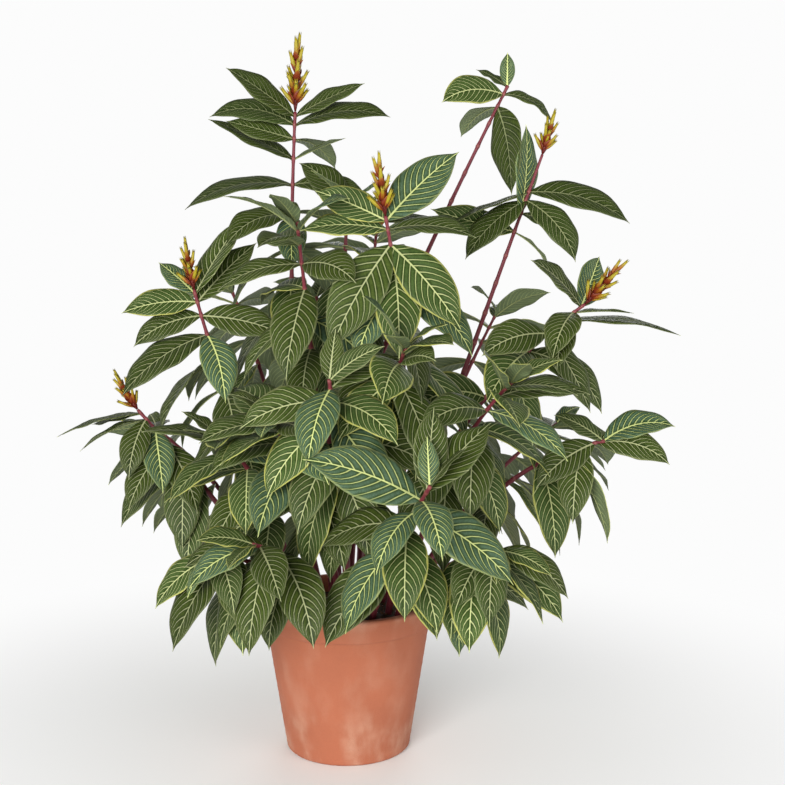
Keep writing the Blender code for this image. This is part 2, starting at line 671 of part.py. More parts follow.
def make_spike(shoot, material):
    """A spike of flowers joined into its core."""
    core, *flowers = spike_shells(shoot)
    spike = object_of("flowers_" + shoot.name, core, material)
    tubes = helper_collection("tubes_" + shoot.name)
    for i, shell in enumerate(flowers):
        object_of(f"tube_{shoot.name}_{i}", shell, material, tubes)
    apply_boolean(spike, "UNION", tubes, "MANIFOLD")


def make_material(name, colour, roughness):
    material = bpy.data.materials.new(name)
    material.use_nodes = True
    shader = material.node_tree.nodes["Principled BSDF"]
    shader.inputs["Base Color"].default_value = (*colour, 1)
    shader.inputs["Roughness"].default_value = roughness
    shader.inputs["Metallic"].default_value = 0.0
    return material


def main():
    for obj in list(bpy.data.objects):
        bpy.data.objects.remove(obj)
    make_pot(make_material("clay", (0.48, 0.20, 0.11), 0.85))
    make_soil(make_material("potting_soil", (0.035, 0.022, 0.014), 0.95))
    bark = make_material("red_bark", (0.25, 0.035, 0.055), 0.55)
    green = make_material("leaf_green", (0.045, 0.085, 0.030), 0.50)
    yellow = make_material("flower_yellow", (0.80, 0.42, 0.03), 0.55)
    leaves = lay_out_leaves()
    for shoot in SHOOTS:
        make_shoot(shoot, leaves[shoot.name], bark, green)
        if shoot.spike:
            make_spike(shoot, yellow)


if __name__ == "__main__":
    main()
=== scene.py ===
"""A potted sanchezia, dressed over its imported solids: leaves, stems, flower spikes, pot and soil.

Metres, +Z up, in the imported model's own frame. The plant faces -Y.
"""

import itertools
import math
import random
from collections import namedtuple

import bmesh
import bpy
from bpy.props import FloatProperty, FloatVectorProperty, IntProperty, PointerProperty
from mathutils import Color, Euler, Matrix, Vector, noise
from mathutils.bvhtree import BVHTree


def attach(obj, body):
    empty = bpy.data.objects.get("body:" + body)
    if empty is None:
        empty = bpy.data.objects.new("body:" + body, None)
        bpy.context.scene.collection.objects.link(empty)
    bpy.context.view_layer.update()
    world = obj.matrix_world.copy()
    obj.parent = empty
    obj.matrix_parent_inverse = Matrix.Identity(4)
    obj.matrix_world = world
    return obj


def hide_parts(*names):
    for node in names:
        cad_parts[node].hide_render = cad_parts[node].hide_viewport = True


bl_info = {
    "name": "Potted Sanchezia",
    "version": (1, 0, 0),
    "blender": (4, 5, 0),
    "location": "3D View > Sidebar > Sanchezia",
    "description": "Dresses a potted sanchezia's solids with leaves, stems, flowers, clay and soil",
    "category": "Add Mesh",
}

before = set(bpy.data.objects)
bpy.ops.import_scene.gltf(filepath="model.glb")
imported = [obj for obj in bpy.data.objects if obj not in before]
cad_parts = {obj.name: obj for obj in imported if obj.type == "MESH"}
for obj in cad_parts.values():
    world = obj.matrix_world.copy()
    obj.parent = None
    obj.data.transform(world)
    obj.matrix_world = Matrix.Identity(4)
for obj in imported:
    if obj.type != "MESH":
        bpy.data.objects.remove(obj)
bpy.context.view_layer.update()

# Pot
POT_HEIGHT = 0.340
POT_TOP_RADIUS = 0.200
POT_BASE_RADIUS = 0.138
POT_WALL = 0.012
POT_FLOOR = 0.016
POT_EDGE = 0.004
RIM_HEIGHT = 0.052
RIM_STEP = 0.009
POT_SIDES = 24
DRAIN_HOLES = 4
DRAIN_RADIUS = 0.009
DRAIN_RING_RADIUS = 0.080

# Soil
SOIL_LEVEL = 0.310
SOIL_MOUND = 0.007
SOIL_SHOULDER = 0.72
GAP = 0.0004

# Stems
STEM_SIDES = 4
STEM_BASE_RADIUS = 0.0080
STEM_TIP_RADIUS = 0.0032
STEM_BURIED = 0.045
STEM_STRAIGHT = 0.030
STEM_TAPER = 1.1
STEM_STATIONS = 5
CURVE_STEPS = 40

# Leaves
LEAF_LENGTH = 0.208
LEAF_ASPECT = 0.43
LEAF_THICKNESS = 0.0014
LEAF_STATIONS = (0.34, 0.70)
BLADE_END = 0.965
ROOT_CURVE, TIP_CURVE = 0.90, 0.95
DRIP_START, DRIP_WIDTH = 0.88, 0.10
BEND_CURVE = 1.15
PATH_STEPS = 12
CLEARANCE = 0.0035
NEAR_ROOT = 0.10
FIRST_LEAVES = 0.003
FIRST_LEAVES_UNDER_SPIKE = 0.010
FIRST_INTERNODE = 0.018
INTERNODE_GROWTH = 0.012
FULL_INTERNODE = 0.068
BARE_FOOT = 0.05
BARE_SHARE = 0.40

# A stem with a long bare stalk above its leaves, stems with few leaf pairs, and stems that are
# bare inside the bush.
BARE_STALKS = {"right_upper": 0.085}
LEAF_PAIRS = {
    "right_tall": 3,
    "right_upper": 4,
    "left_tall": 9,
    "right_side": 8,
    "centre_upper": 8,
    "mid_upper": 8,
    "left_inner": 7,
    "centre_inner": 5,
}

# A leaf pair is young at the tip and old by the fifth pair. Stems with a low tip have older
# leaves. Leaves pull outward from the plant's middle and roll to face out.
OLD_PAIR = 5
LOW_TIP = 0.80
PAIRS_LOST_PER_METRE = 8
YOUNG_SPREAD, OLD_SPREAD = 50, 68
YOUNG_LEVEL, OLD_LEVEL = 42, -42
YOUNG_BEND, OLD_BEND = 36, 52
LEVEL_PULL = 0.75
OUTWARD_PULL = 0.3
OUTWARD_REACH = 0.25
FACE_OUT = 38
YOUNG_SIZES = (0.55, 0.80, 0.96)
YOUNG_SIZES_UNDER_SPIKE = (0.76, 0.92)

# How far leaves differ: angles in degrees either way, and the ranges of size and fold.
TURN_SPREAD, RISE_SPREAD, SWAY_SPREAD, ROLL_SPREAD = 10, 8, 12, 16
SIZE_RANGE = (0.86, 1.10)
FOLD_RANGE = (6, 14)

# How a leaf that has no room is shortened, turned, lifted and rolled, in shares and degrees.
SHRINKS = (1.0, 0.85, 0.7)
TURNS = (0, 14, -14, 28, -28, 42, -42)
LIFTS = (0, 16, -16, 30, -30)
ROLLS = (0, 22, -22)
BEND_PER_LIFT = 0.4

# Flower spikes
SPIKE_GUARD_SIDES = 8
GUARD_SHARES = (0.0, 0.35, 1.02)
GUARD_FOOT, GUARD_TIP, GUARD_WIDTH = 0.004, 0.011, 0.90
POT_ROOM = 0.004
TALLEST_SPIKE = 0.160
SMALLEST_FLOWER = 0.62
SPIKE_CORE = ((0.0, 0.0026), (0.16, 0.0085), (0.42, 0.0075), (0.75, 0.0045), (1.0, 0.0020))
FLOWERS_PER_METRE = 80
FLOWER_LENGTH = 0.044
FLOWER_LEAN, TOP_FLOWER_LEAN = 46, 8
FLOWER_RADIUS = 0.0036
SPIKE_UPTURN = 0.25
GOLDEN_ANGLE = math.radians(137.5)

# A stem starts at its foot on the soil, heads for its knee, and reaches its tip as if it came
# from the knee. Its first leaf pair is turned by so many degrees. A spike of 0 is a stem with
# no flowers.
Shoot = namedtuple("Shoot", "name foot knee tip turn spike")
SHOOTS = (
    Shoot("left_tall", (-0.085, 0.035), (-0.140, 0.020, 0.85), (-0.108, 0.00, 1.405), 20, 0.160),
    Shoot("right_tall", (-0.100, 0.075), (-0.082, 0.040, 0.60), (0.354, 0.09, 1.470), 65, 0.0),
    Shoot("right_upper", (0.075, 0.045), (0.200, 0.030, 0.68), (0.424, 0.02, 1.316), 10, 0.095),
    Shoot("centre_upper", (0.090, -0.040), (0.160, -0.190, 0.80), (0.086, -0.25, 1.18), 15, 0.12),
    Shoot("left_upper", (-0.075, -0.010), (-0.255, -0.060, 0.76), (-0.316, -0.10, 1.03), 70, 0.105),
    Shoot("far_left", (-0.115, -0.030), (-0.280, -0.010, 0.56), (-0.457, -0.02, 0.765), 35, 0.095),
    Shoot("right_side", (0.030, -0.080), (0.230, -0.060, 0.80), (0.501, -0.12, 1.000), 0, 0.120),
    Shoot("far_right", (0.130, -0.010), (0.310, -0.060, 0.66), (0.550, -0.11, 0.710), 30, 0.0),
    Shoot("front_centre", (0.055, -0.095), (0.085, -0.300, 0.50), (0.168, -0.50, 0.690), 0, 0.0),
    Shoot("front_left", (-0.040, -0.100), (-0.070, -0.280, 0.50), (-0.165, -0.41, 0.560), 50, 0.0),
    Shoot("left_front", (-0.090, -0.100), (-0.150, -0.190, 0.64), (-0.235, -0.29, 0.740), 35, 0.0),
    Shoot("low_left", (-0.095, -0.070), (-0.180, -0.210, 0.50), (-0.250, -0.37, 0.530), 20, 0.0),
    Shoot("left_low", (-0.010, -0.060), (-0.050, -0.170, 0.66), (-0.130, -0.33, 0.790), 65, 0.0),
    Shoot("mid_upper", (0.000, 0.030), (-0.020, 0.000, 0.80), (0.005, -0.06, 1.210), 35, 0.0),
    Shoot("left_inner", (-0.035, 0.030), (-0.060, -0.060, 0.80), (-0.090, -0.22, 1.170), 80, 0.0),
    Shoot("centre_inner", (0.030, -0.025), (0.070, -0.160, 0.76), (0.125, -0.36, 0.930), 40, 0.0),
    Shoot("right_inner", (0.110, -0.070), (0.200, -0.170, 0.70), (0.330, -0.33, 0.860), 75, 0.0),
    Shoot("mid_front", (0.005, -0.125), (0.000, -0.240, 0.62), (-0.020, -0.37, 0.870), 60, 0.0),
    Shoot("low_right", (0.122, -0.045), (0.220, -0.200, 0.50), (0.310, -0.38, 0.540), 10, 0.0),
    Shoot("back_left", (-0.065, 0.105), (-0.160, 0.220, 0.70), (-0.300, 0.36, 1.020), 30, 0.0),
    Shoot("back_centre", (0.000, 0.090), (0.030, 0.220, 0.80), (0.060, 0.38, 1.150), 75, 0.100),
    Shoot("back_right", (0.075, 0.100), (0.200, 0.220, 0.68), (0.360, 0.36, 0.960), 15, 0.0),
    Shoot("back_inner", (-0.025, 0.140), (-0.050, 0.170, 0.75), (-0.080, 0.23, 1.000), 45, 0.0),
    Shoot("back_low_left", (-0.125, 0.030), (-0.270, 0.140, 0.56), (-0.470, 0.26, 0.680), 55, 0.0),
    Shoot("back_low_right", (0.125, 0.040), (0.290, 0.150, 0.58), (0.500, 0.28, 0.690), 0, 0.0),
    Shoot("back_low", (0.020, 0.120), (0.030, 0.290, 0.57), (0.030, 0.50, 0.680), 40, 0.0),
)

# Looks of a leaf's upper face, as how blue-green and how yellow-edged it is.
PLAIN, EDGED, BLUE = "plain", "edged", "blue"
LOOKS = {PLAIN: (0.0, 0.05), EDGED: (0.0, 1.0), BLUE: (1.0, 0.1)}
YOUNG_BLUE, OLD_BLUE = 0.34, 0.10
PLAIN_BELOW = 0.70

# Leaves set one by one, for each stem by leaf pair from the tip down: heading, rise at the root,
# bend and roll in degrees, length in millimetres, and look. A heading of 0 is along +X, and -90
# faces the front.
AIMED = {
    "front_centre": (
        ((100, 75, 10, 0, 95, BLUE), (20, 55, 25, 20, 100, PLAIN)),
        ((75, 72, 18, 10, 165, PLAIN), (35, 60, 25, 45, 195, PLAIN)),
        ((195, 32, 25, -60, 240, BLUE), (-75, -5, 60, 5, 165, BLUE)),
        ((-15, -20, 35, 45, 230, BLUE), (-125, -10, 60, -10, 165, BLUE)),
        ((-95, -25, 55, 0, 205, EDGED), (160, 5, 55, -40, 200, PLAIN)),
        ((-50, -30, 50, 15, 200, EDGED), (-140, -30, 50, -15, 210, BLUE)),
    ),
    "mid_front": (
        ((80, 65, 10, 0, 110, PLAIN), (-20, 45, 30, 30, 130, PLAIN)),
        ((-105, -20, 50, 0, 195, BLUE), (30, 20, 40, 30, 170, PLAIN)),
        ((200, 5, 45, -50, 190, PLAIN), (-40, 0, 50, 30, 190, EDGED)),
    ),
    "centre_upper": (
        ((30, 62, 20, 50, 215, BLUE), (160, 42, 18, -55, 170, EDGED)),
        ((-20, 12, 40, 25, 185, PLAIN), (185, 12, 30, -60, 175, EDGED)),
        ((-141, -46, 20, -45, 250, PLAIN), (-30, -38, 20, 50, 225, EDGED)),
    ),
    "right_tall": (
        ((85, 80, 10, 0, 80, BLUE), (165, 40, 25, -30, 80, PLAIN)),
        ((212, 12, 50, -60, 175, EDGED), (10, 0, 75, 30, 150, PLAIN)),
        ((-70, -50, 35, 65, 220, PLAIN), (120, 0, 50, 0, 160, PLAIN)),
    ),
    "right_upper": (
        ((-5, 2, 45, 35, 235, PLAIN), (190, 12, 20, 20, 200, PLAIN)),
        ((-40, -25, 50, 25, 190, PLAIN), (205, -10, 40, -45, 200, PLAIN)),
        ((150, 70, 5, -10, 190, BLUE), (-25, -15, 20, 0, 130, PLAIN)),
        ((175, 42, 5, -50, 190, EDGED), (0, -30, 40, 0, 120, PLAIN)),
    ),
    "left_tall": (
        ((205, 36, 12, -55, 180, PLAIN), (-5, 30, 12, 35, 165, PLAIN)),
        ((-15, 22, 45, 30, 220, PLAIN), (172, 32, 62, -40, 195, PLAIN)),
        ((60, 5, 60, 0, 170, PLAIN), (190, 32, 10, -50, 150, PLAIN)),
        ((15, 42, 15, 15, 125, PLAIN), (178, 30, 12, -25, 200, PLAIN)),
        ((-8, 8, 45, 35, 175, PLAIN), (186, 8, 50, -20, 245, PLAIN)),
        ((-88, -30, 45, 0, 155, BLUE), (222, 5, 60, -25, 195, PLAIN)),
    ),
    "far_left": (
        ((187, -5, 25, 0, 190, PLAIN), (172, 15, 10, 10, 130, PLAIN)),
        ((195, -10, 35, -20, 160, PLAIN), (-110, -35, 45, -10, 150, PLAIN)),
        ((-75, -35, 45, 5, 160, BLUE), (100, 10, 45, 0, 160, PLAIN)),
        ((-125, -30, 40, -15, 180, PLAIN), (-50, -35, 40, 20, 180, PLAIN)),
        ((195, -25, 45, -25, 200, PLAIN), (-85, -35, 45, 5, 195, PLAIN)),
        ((-115, -35, 45, -5, 190, PLAIN), (150, -20, 50, 0, 190, PLAIN)),
    ),
    "left_upper": (
        ((150, 38, 12, -55, 120, BLUE), (35, 58, 10, 30, 200, PLAIN)),
        ((190, 5, 30, -55, 160, EDGED), (40, 45, 10, 35, 190, PLAIN)),
        ((185, -5, 45, -50, 160, PLAIN), (-5, -2, 25, 55, 180, PLAIN)),
        ((215, -15, 40, -45, 230, PLAIN), (-60, -30, 45, 10, 180, BLUE)),
    ),
    "right_side": (
        ((60, 60, 15, 30, 160, BLUE), (-150, 50, 30, -50, 165, PLAIN)),
        ((-115, -10, 50, -10, 170, PLAIN), (5, 5, 15, 0, 130, PLAIN)),
        ((-2, 5, 28, 5, 250, PLAIN), (-100, -20, 45, 0, 150, PLAIN)),
        ((215, 5, 40, -55, 185, PLAIN), (-30, -50, 20, 20, 190, PLAIN)),
    ),
    "far_right": (
        ((10, 35, 60, 40, 170, BLUE), (170, 40, 30, -40, 120, PLAIN)),
        ((-5, 10, 60, 50, 170, PLAIN), (205, -15, 40, -50, 170, PLAIN)),
        ((-110, -40, 40, 0, 180, PLAIN), (60, 0, 50, 0, 190, PLAIN)),
    ),
}

# A leaf: where it leaves its stem, its heading and rise at the root, how far it bends down and
# sways, its roll about its rib, its length, how far it is folded, and its look. Angles are in
# radians.
Leaf = namedtuple("Leaf", "root heading rise bend sway roll length fold look")


def angle_between(a, b):
    """The turn from angle b to angle a, within half a turn either way."""
    return (a - b + math.pi) % (2 * math.pi) - math.pi


def smoothstep(x):
    x = min(1.0, max(0.0, x))
    return x * x * (3 - 2 * x)


def leaf_half_width(t):
    """Half the blade's width at t along the rib, as a share of its widest half."""
    blade = min(1.0, t / BLADE_END)
    widest = ROOT_CURVE / (ROOT_CURVE + TIP_CURVE)
    body = (blade / widest) ** ROOT_CURVE * ((1 - blade) / (1 - widest)) ** TIP_CURVE
    drip = DRIP_WIDTH * (1 - t) / (1 - DRIP_START) if t > DRIP_START else 0.0
    return max(body, drip)


def stem_curve(shoot):
    """Points close together from the buried end, straight through the soil, then on to the tip."""
    foot = Vector((*shoot.foot, SOIL_LEVEL))
    knee, tip = Vector(shoot.knee), Vector(shoot.tip)
    start = (knee - foot).normalized()
    above = foot + start * STEM_STRAIGHT
    curve = [foot - start * STEM_BURIED]
    for i in range(CURVE_STEPS + 1):
        t = i / CURVE_STEPS
        curve.append(above * (1 - t) ** 2 + knee * 2 * t * (1 - t) + tip * t * t)
    return curve


def curve_length(curve):
    return sum((b - a).length for a, b in zip(curve, curve[1:]))


def at_length(curve, wanted):
    """The point and direction at a length along a curve of points."""
    for a, b in zip(curve, curve[1:]):
        step = (b - a).length
        if wanted <= step:
            return a.lerp(b, wanted / step), (b - a).normalized()
        wanted -= step
    return curve[-1].copy(), (curve[-1] - curve[-2]).normalized()


def stem_radius(share):
    """The stem's radius at a share of its length above the soil."""
    return STEM_BASE_RADIUS + (STEM_TIP_RADIUS - STEM_BASE_RADIUS) * share**STEM_TAPER


def across(direction):
    """Two unit vectors square to a direction and to each other."""
    side = direction.cross(Vector((0, 1, 0)))
    if side.length < 0.2:
        side = direction.cross(Vector((1, 0, 0)))
    side.normalize()
    return side, direction.cross(side)


def spoke(u, v, angle):
    """The vector at an angle from u towards v."""
    return u * math.cos(angle) + v * math.sin(angle)


def rings_along(centres):
    """(centre, u, v) for each centre, with u and v square to the way that the centres run."""
    last = len(centres) - 1
    for i, centre in enumerate(centres):
        ahead = centres[min(i + 1, last)] - centres[max(i - 1, 0)]
        yield centre, *across(ahead.normalized())


def tube_shell(centres, radii, sides, spin=0.0):
    """Points and triangles of a closed tube through the centres."""
    points = []
    for (centre, u, v), radius in zip(rings_along(centres), radii):
        for k in range(sides):
            points.append(centre + spoke(u, v, spin + 2 * math.pi * k / sides) * radius)
    triangles = []
    for i in range(len(centres) - 1):
        for k in range(sides):
            a, b = i * sides + k, i * sides + (k + 1) % sides
            triangles += [(a, b, b + sides), (a, b + sides, a + sides)]
    last = (len(centres) - 1) * sides
    for k in range(1, sides - 1):
        triangles += [(last, last + k, last + k + 1), (0, k + 1, k)]
    return points, triangles


def stem_spin(shoot):
    """The stem is four-angled, and its leaf pairs grow from the middle of its faces."""
    return math.radians(shoot.turn + 45)


def stem_shell(shoot):
    """The stem as a tapered tube from its buried end to its tip."""
    curve = stem_curve(shoot)
    length = curve_length(curve)
    straight = STEM_BURIED + STEM_STRAIGHT
    free = length - straight
    lengths = [0.0, *(straight + free * i / STEM_STATIONS for i in range(STEM_STATIONS + 1))]
    centres = [at_length(curve, s)[0] for s in lengths]
    radii = [stem_radius(max(0.0, s - straight) / free) for s in lengths]
    return tube_shell(centres, radii, STEM_SIDES, stem_spin(shoot))


def leaf_path(leaf, steps=PATH_STEPS):
    """(point, direction, side, normal) at each step along the rib. Finer steps keep to the path."""
    lag = 0.5 / PATH_STEPS - 0.5 / steps
    step = leaf.length / steps
    point = leaf.root.copy()
    frames = []
    for i in range(steps + 1):
        t = max(0.0, i / steps - lag)
        rise = leaf.rise - leaf.bend * t**BEND_CURVE
        heading = leaf.heading + leaf.sway * t
        ahead = Vector((math.cos(heading), math.sin(heading), 0))
        direction = ahead * math.cos(rise) + Vector((0, 0, math.sin(rise)))
        level = Vector((-math.sin(heading), math.cos(heading), 0))
        normal = direction.cross(level)
        side = spoke(level, normal, leaf.roll)
        frames.append((point.copy(), direction, side, direction.cross(side)))
        point += direction * step
    return frames


def frame_at(frames, t):
    """The frame at a share t of the rib, between the two nearest steps."""
    place = t * (len(frames) - 1)
    i = min(int(place), len(frames) - 2)
    return [a.lerp(b, place - i) for a, b in zip(frames[i], frames[i + 1])]


def leaf_shell(leaf, thickness, start=0.0):
    """Points and triangles of a closed blade: the rib's top and underside at its start, then left
    edge, rib top, right edge and rib underside at each station, then the tip. Both faces are split
    into triangles alike."""
    frames = leaf_path(leaf)
    point, _, _, normal = frame_at(frames, start)
    points = [point + normal * thickness / 2, point - normal * thickness / 2]
    for t in LEAF_STATIONS:
        point, _, side, normal = frame_at(frames, t)
        width = leaf.length * LEAF_ASPECT / 2 * leaf_half_width(t)
        out = side * width * math.cos(leaf.fold)
        lift = normal * width * math.sin(leaf.fold)
        rib = normal * thickness / 2
        points += [point + out + lift, point + rib, point - out + lift, point - rib]
    points.append(frames[-1][0])
    triangles = [(0, 2, 1), (0, 3, 2), (0, 4, 3), (0, 1, 4), (1, 5, 4), (1, 2, 5)]
    last, tip = len(points) - 5, len(points) - 1
    for i in range(2, last, 4):
        for k in range(4):
            a, b = i + k, i + (k + 1) % 4
            if k % 2 == 0:
                triangles += [(a, b, b + 4), (a, b + 4, a + 4)]
            else:
                triangles += [(a, b, a + 4), (b, b + 4, a + 4)]
    triangles += [(last + k, last + (k + 1) % 4, tip) for k in range(4)]
    return points, triangles


def spike_curve(shoot):
    """The foot and direction of the flower spike on the stem's tip."""
    curve = stem_curve(shoot)
    direction = (curve[-1] - curve[-2]).normalized()
    up = Vector((0, 0, 1))
    return curve[-1] + direction * GAP, direction.lerp(up, SPIKE_UPTURN).normalized()


def flower_size(shoot):
    """The flowers of a short spike are smaller than those of the tallest."""
    return SMALLEST_FLOWER + (1 - SMALLEST_FLOWER) * shoot.spike / TALLEST_SPIKE


def spike_guard(shoot):
    """A spindle round the flower spike that the leaves keep clear of."""
    foot, direction = spike_curve(shoot)
    centres = [foot + direction * shoot.spike * s for s in GUARD_SHARES]
    widest = GUARD_WIDTH * FLOWER_LENGTH * flower_size(shoot)
    return tube_shell(centres, [GUARD_FOOT, widest, GUARD_TIP], SPIKE_GUARD_SIDES)


def pot_guard():
    """The pot's outline that the hanging leaves keep clear of."""
    centres = [Vector((0, 0, z)) for z in (0.0, POT_HEIGHT + POT_ROOM)]
    radii = [POT_BASE_RADIUS + POT_ROOM, POT_TOP_RADIUS + POT_ROOM]
    return tube_shell(centres, radii, POT_SIDES)


def drawn_look(age, taste):
    """Young leaves are often blue-green with yellow veins, and old ones plain or yellow-edged."""
    chance = taste.random()
    if chance < YOUNG_BLUE + (OLD_BLUE - YOUNG_BLUE) * age:
        return BLUE
    return PLAIN if chance < PLAIN_BELOW else EDGED


def wanted_leaf(shoot, curve, down, side_turn, order, draw, taste):
    """The leaf that wants to grow so far down from the tip, before it makes room for others."""
    point, direction = at_length(curve, curve_length(curve) - down)
    radial = spoke(*across(direction), side_turn)
    low = max(0.0, LOW_TIP - shoot.tip[2]) * PAIRS_LOST_PER_METRE
    age = smoothstep((order + low) / OLD_PAIR)
    spread = math.radians(YOUNG_SPREAD + (OLD_SPREAD - YOUNG_SPREAD) * age)
    start = spoke(direction, radial, spread)
    heading = math.atan2(start.y, start.x)
    outward = math.atan2(point.y, point.x)
    reach = min(1.0, math.hypot(point.x, point.y) / OUTWARD_REACH)
    heading = outward + angle_between(heading, outward) * (1 - OUTWARD_PULL * reach)
    level = math.radians(YOUNG_LEVEL + (OLD_LEVEL - YOUNG_LEVEL) * age)
    rise = (1 - LEVEL_PULL) * math.asin(start.z) + LEVEL_PULL * level
    bend = YOUNG_BEND + (OLD_BEND - YOUNG_BEND) * age
    young = YOUNG_SIZES_UNDER_SPIKE if shoot.spike else YOUNG_SIZES
    size = young[order] if order < len(young) else 1.0

    def either_way(degrees):
        return draw.uniform(-degrees, degrees)

    return Leaf(
        root=point,
        heading=heading + math.radians(either_way(TURN_SPREAD)),
        rise=rise + math.radians(either_way(RISE_SPREAD)),
        bend=math.radians(bend + either_way(TURN_SPREAD)),
        sway=math.radians(either_way(SWAY_SPREAD)),
        roll=math.radians(either_way(ROLL_SPREAD) - FACE_OUT * reach * math.sin(outward - heading)),
        length=LEAF_LENGTH * size * draw.uniform(*SIZE_RANGE),
        fold=math.radians(draw.uniform(*FOLD_RANGE)),
        look=drawn_look(age, taste),
    )


def aimed_leaf(leaf, heading, rise, bend, roll, length, look):
    """A leaf turned to a listed aim."""
    return leaf._replace(
        heading=math.radians(heading),
        rise=math.radians(rise),
        bend=math.radians(bend),
        roll=math.radians(roll),
        length=length / 1000,
        look=look,
    )


def pair_places(shoot, lowest):
    """How far down from the tip each leaf pair starts, above the lowest place for one."""
    first = FIRST_LEAVES_UNDER_SPIKE if shoot.spike else FIRST_LEAVES
    down, order = BARE_STALKS.get(shoot.name, first), 0
    while down < lowest:
        yield down
        down += min(FULL_INTERNODE, FIRST_INTERNODE + INTERNODE_GROWTH * order)
        order += 1


def wanted_leaves():
    """(stem's name, leaf) for every leaf, those with listed aims first."""
    aimed, others = [], []
    for number, shoot in enumerate(SHOOTS):
        draw, taste = random.Random(100 + number), random.Random(500 + number)
        curve = stem_curve(shoot)
        length = curve_length(curve) - STEM_BURIED
        aims = AIMED.get(shoot.name, ())
        places = pair_places(shoot, length - BARE_FOOT - BARE_SHARE * length)
        for order, down in enumerate(itertools.islice(places, LEAF_PAIRS.get(shoot.name))):
            spread = draw.uniform(-TURN_SPREAD, TURN_SPREAD)
            turn = math.radians(shoot.turn + 90 * (order % 2) + spread)
            pair = [
                wanted_leaf(shoot, curve, down, turn + side, order, draw, taste)
                for side in (0.0, math.pi)
            ]
            if order < len(aims):
                for leaf, aim in zip(pair, aims[order]):
                    aimed.append((shoot.name, aimed_leaf(leaf, *aim)))
            else:
                others += [(shoot.name, leaf) for leaf in pair]
    return aimed + others


def bent_leaves(leaf):
    """The leaf as it wants to grow, then turned, bent and shortened more and more to find room."""
    yield leaf
    for shrink, turn, lift, roll in itertools.product(SHRINKS, TURNS, LIFTS, ROLLS):
        yield leaf._replace(
            heading=leaf.heading + math.radians(turn),
            rise=leaf.rise + math.radians(lift),
            bend=leaf.bend + math.radians(lift * BEND_PER_LIFT),
            roll=leaf.roll + math.radians(roll),
            length=leaf.length * shrink,
        )


class Placed:
    """A shell in its place, with its box for quick tests."""

    def __init__(self, shell):
        points, triangles = shell
        self.tree = BVHTree.FromPolygons(points, triangles)
        self.low = [min(p[k] for p in points) for k in range(3)]
        self.high = [max(p[k] for p in points) for k in range(3)]

    def meets(self, other):
        for k in range(3):
            if self.low[k] > other.high[k] or other.low[k] > self.high[k]:
                return False
        return bool(self.tree.overlap(other.tree))


def finds_room(leaf, owner, solids, leaves):
    """Whether a leaf is clear of every solid but its own stem, and of every leaf so far. Leaves of
    one stem may come close to each other at their roots."""
    thickness = LEAF_THICKNESS + 2 * CLEARANCE
    whole = Placed(leaf_shell(leaf, thickness))
    if any(name != owner and whole.meets(solid) for name, solid in solids):
        return False
    if any(name != owner and whole.meets(other) for name, other, _ in leaves):
        return False
    blade = Placed(leaf_shell(leaf, thickness, NEAR_ROOT))
    return not any(name == owner and blade.meets(other) for name, _, other in leaves)


def lay_out_leaves():
    """{stem's name: its leaves}, each bent clear of the pot, stems, spikes and leaves before it."""
    solids = [("pot", Placed(pot_guard()))]
    for shoot in SHOOTS:
        solids.append((shoot.name, Placed(stem_shell(shoot))))
        if shoot.spike:
            solids.append(("spike", Placed(spike_guard(shoot))))
    placed = []
    found = {shoot.name: [] for shoot in SHOOTS}
    for name, wanted in wanted_leaves():
        for leaf in bent_leaves(wanted):
            if finds_room(leaf, name, solids, placed):
                whole = Placed(leaf_shell(leaf, LEAF_THICKNESS))
                blade = Placed(leaf_shell(leaf, LEAF_THICKNESS, NEAR_ROOT))
                placed.append((name, whole, blade))
                found[name].append(leaf)
                break
    return found


def wall_radius(height):
    """The outer radius of the pot's tapered body at a height."""
    top = POT_TOP_RADIUS - RIM_STEP
    return POT_BASE_RADIUS + (top - POT_BASE_RADIUS) * height / POT_HEIGHT


def inner_radius(height):
    return wall_radius(height) - POT_WALL


# Detail of the dressed pieces
SMOOTH = math.radians(50)
ROWS_PER_VEIN = 3
BLADE_COLUMNS = 10
BLADE_STEPS = 36
ROOT_CROWDING = 0.78
VEIN_SWEEP = 2.5
VEIN_START = 0.55
PETIOLE_SHARE = 0.06
PETIOLE_WIDTH = 0.035
FINEST_TIP = 0.008
BLADE_DROOP = 0.10
GROOVE = 0.0006
GROOVE_SLOPE = 6
# How far a blade bulges between its veins beside its rib and edge, and how much more between.
QUILT_SIDES, QUILT_MIDDLE = 0.25, 3
# Blades whose half width is less than this have shallower relief.
FULL_RELIEF = 0.03
LOOK_SPREAD = 0.15
TONE_SPREAD = 0.16
# Painted shade: plain leaves that start high up are painted darker and with fainter veins.
HIGH_SHADE_FROM, HIGH_SHADE_OVER, MOST_HIGH_SHADE = 1.05, 0.25, 0.5
PAINTED_SHADE_DEPTH = 0.2
# The edge's waves: how many radians along a leaf, and where each half starts in its wave.
WAVE_PITCH, WAVE_STARTS = (12, 18), (0, 6.28)

RIB_SIDES = 5
RIB_ROWS = 9
RIB_END = 0.93
RIB_TAPER, RIB_FINEST, RIB_SUNK = 1.2, 0.0003, 0.45
BARK_SIDES = 12
BARK_STATION = 0.007
BARK_SLIM = 0.96
NODE_SPAN = 0.0055
CORNER_SHARE = 0.07

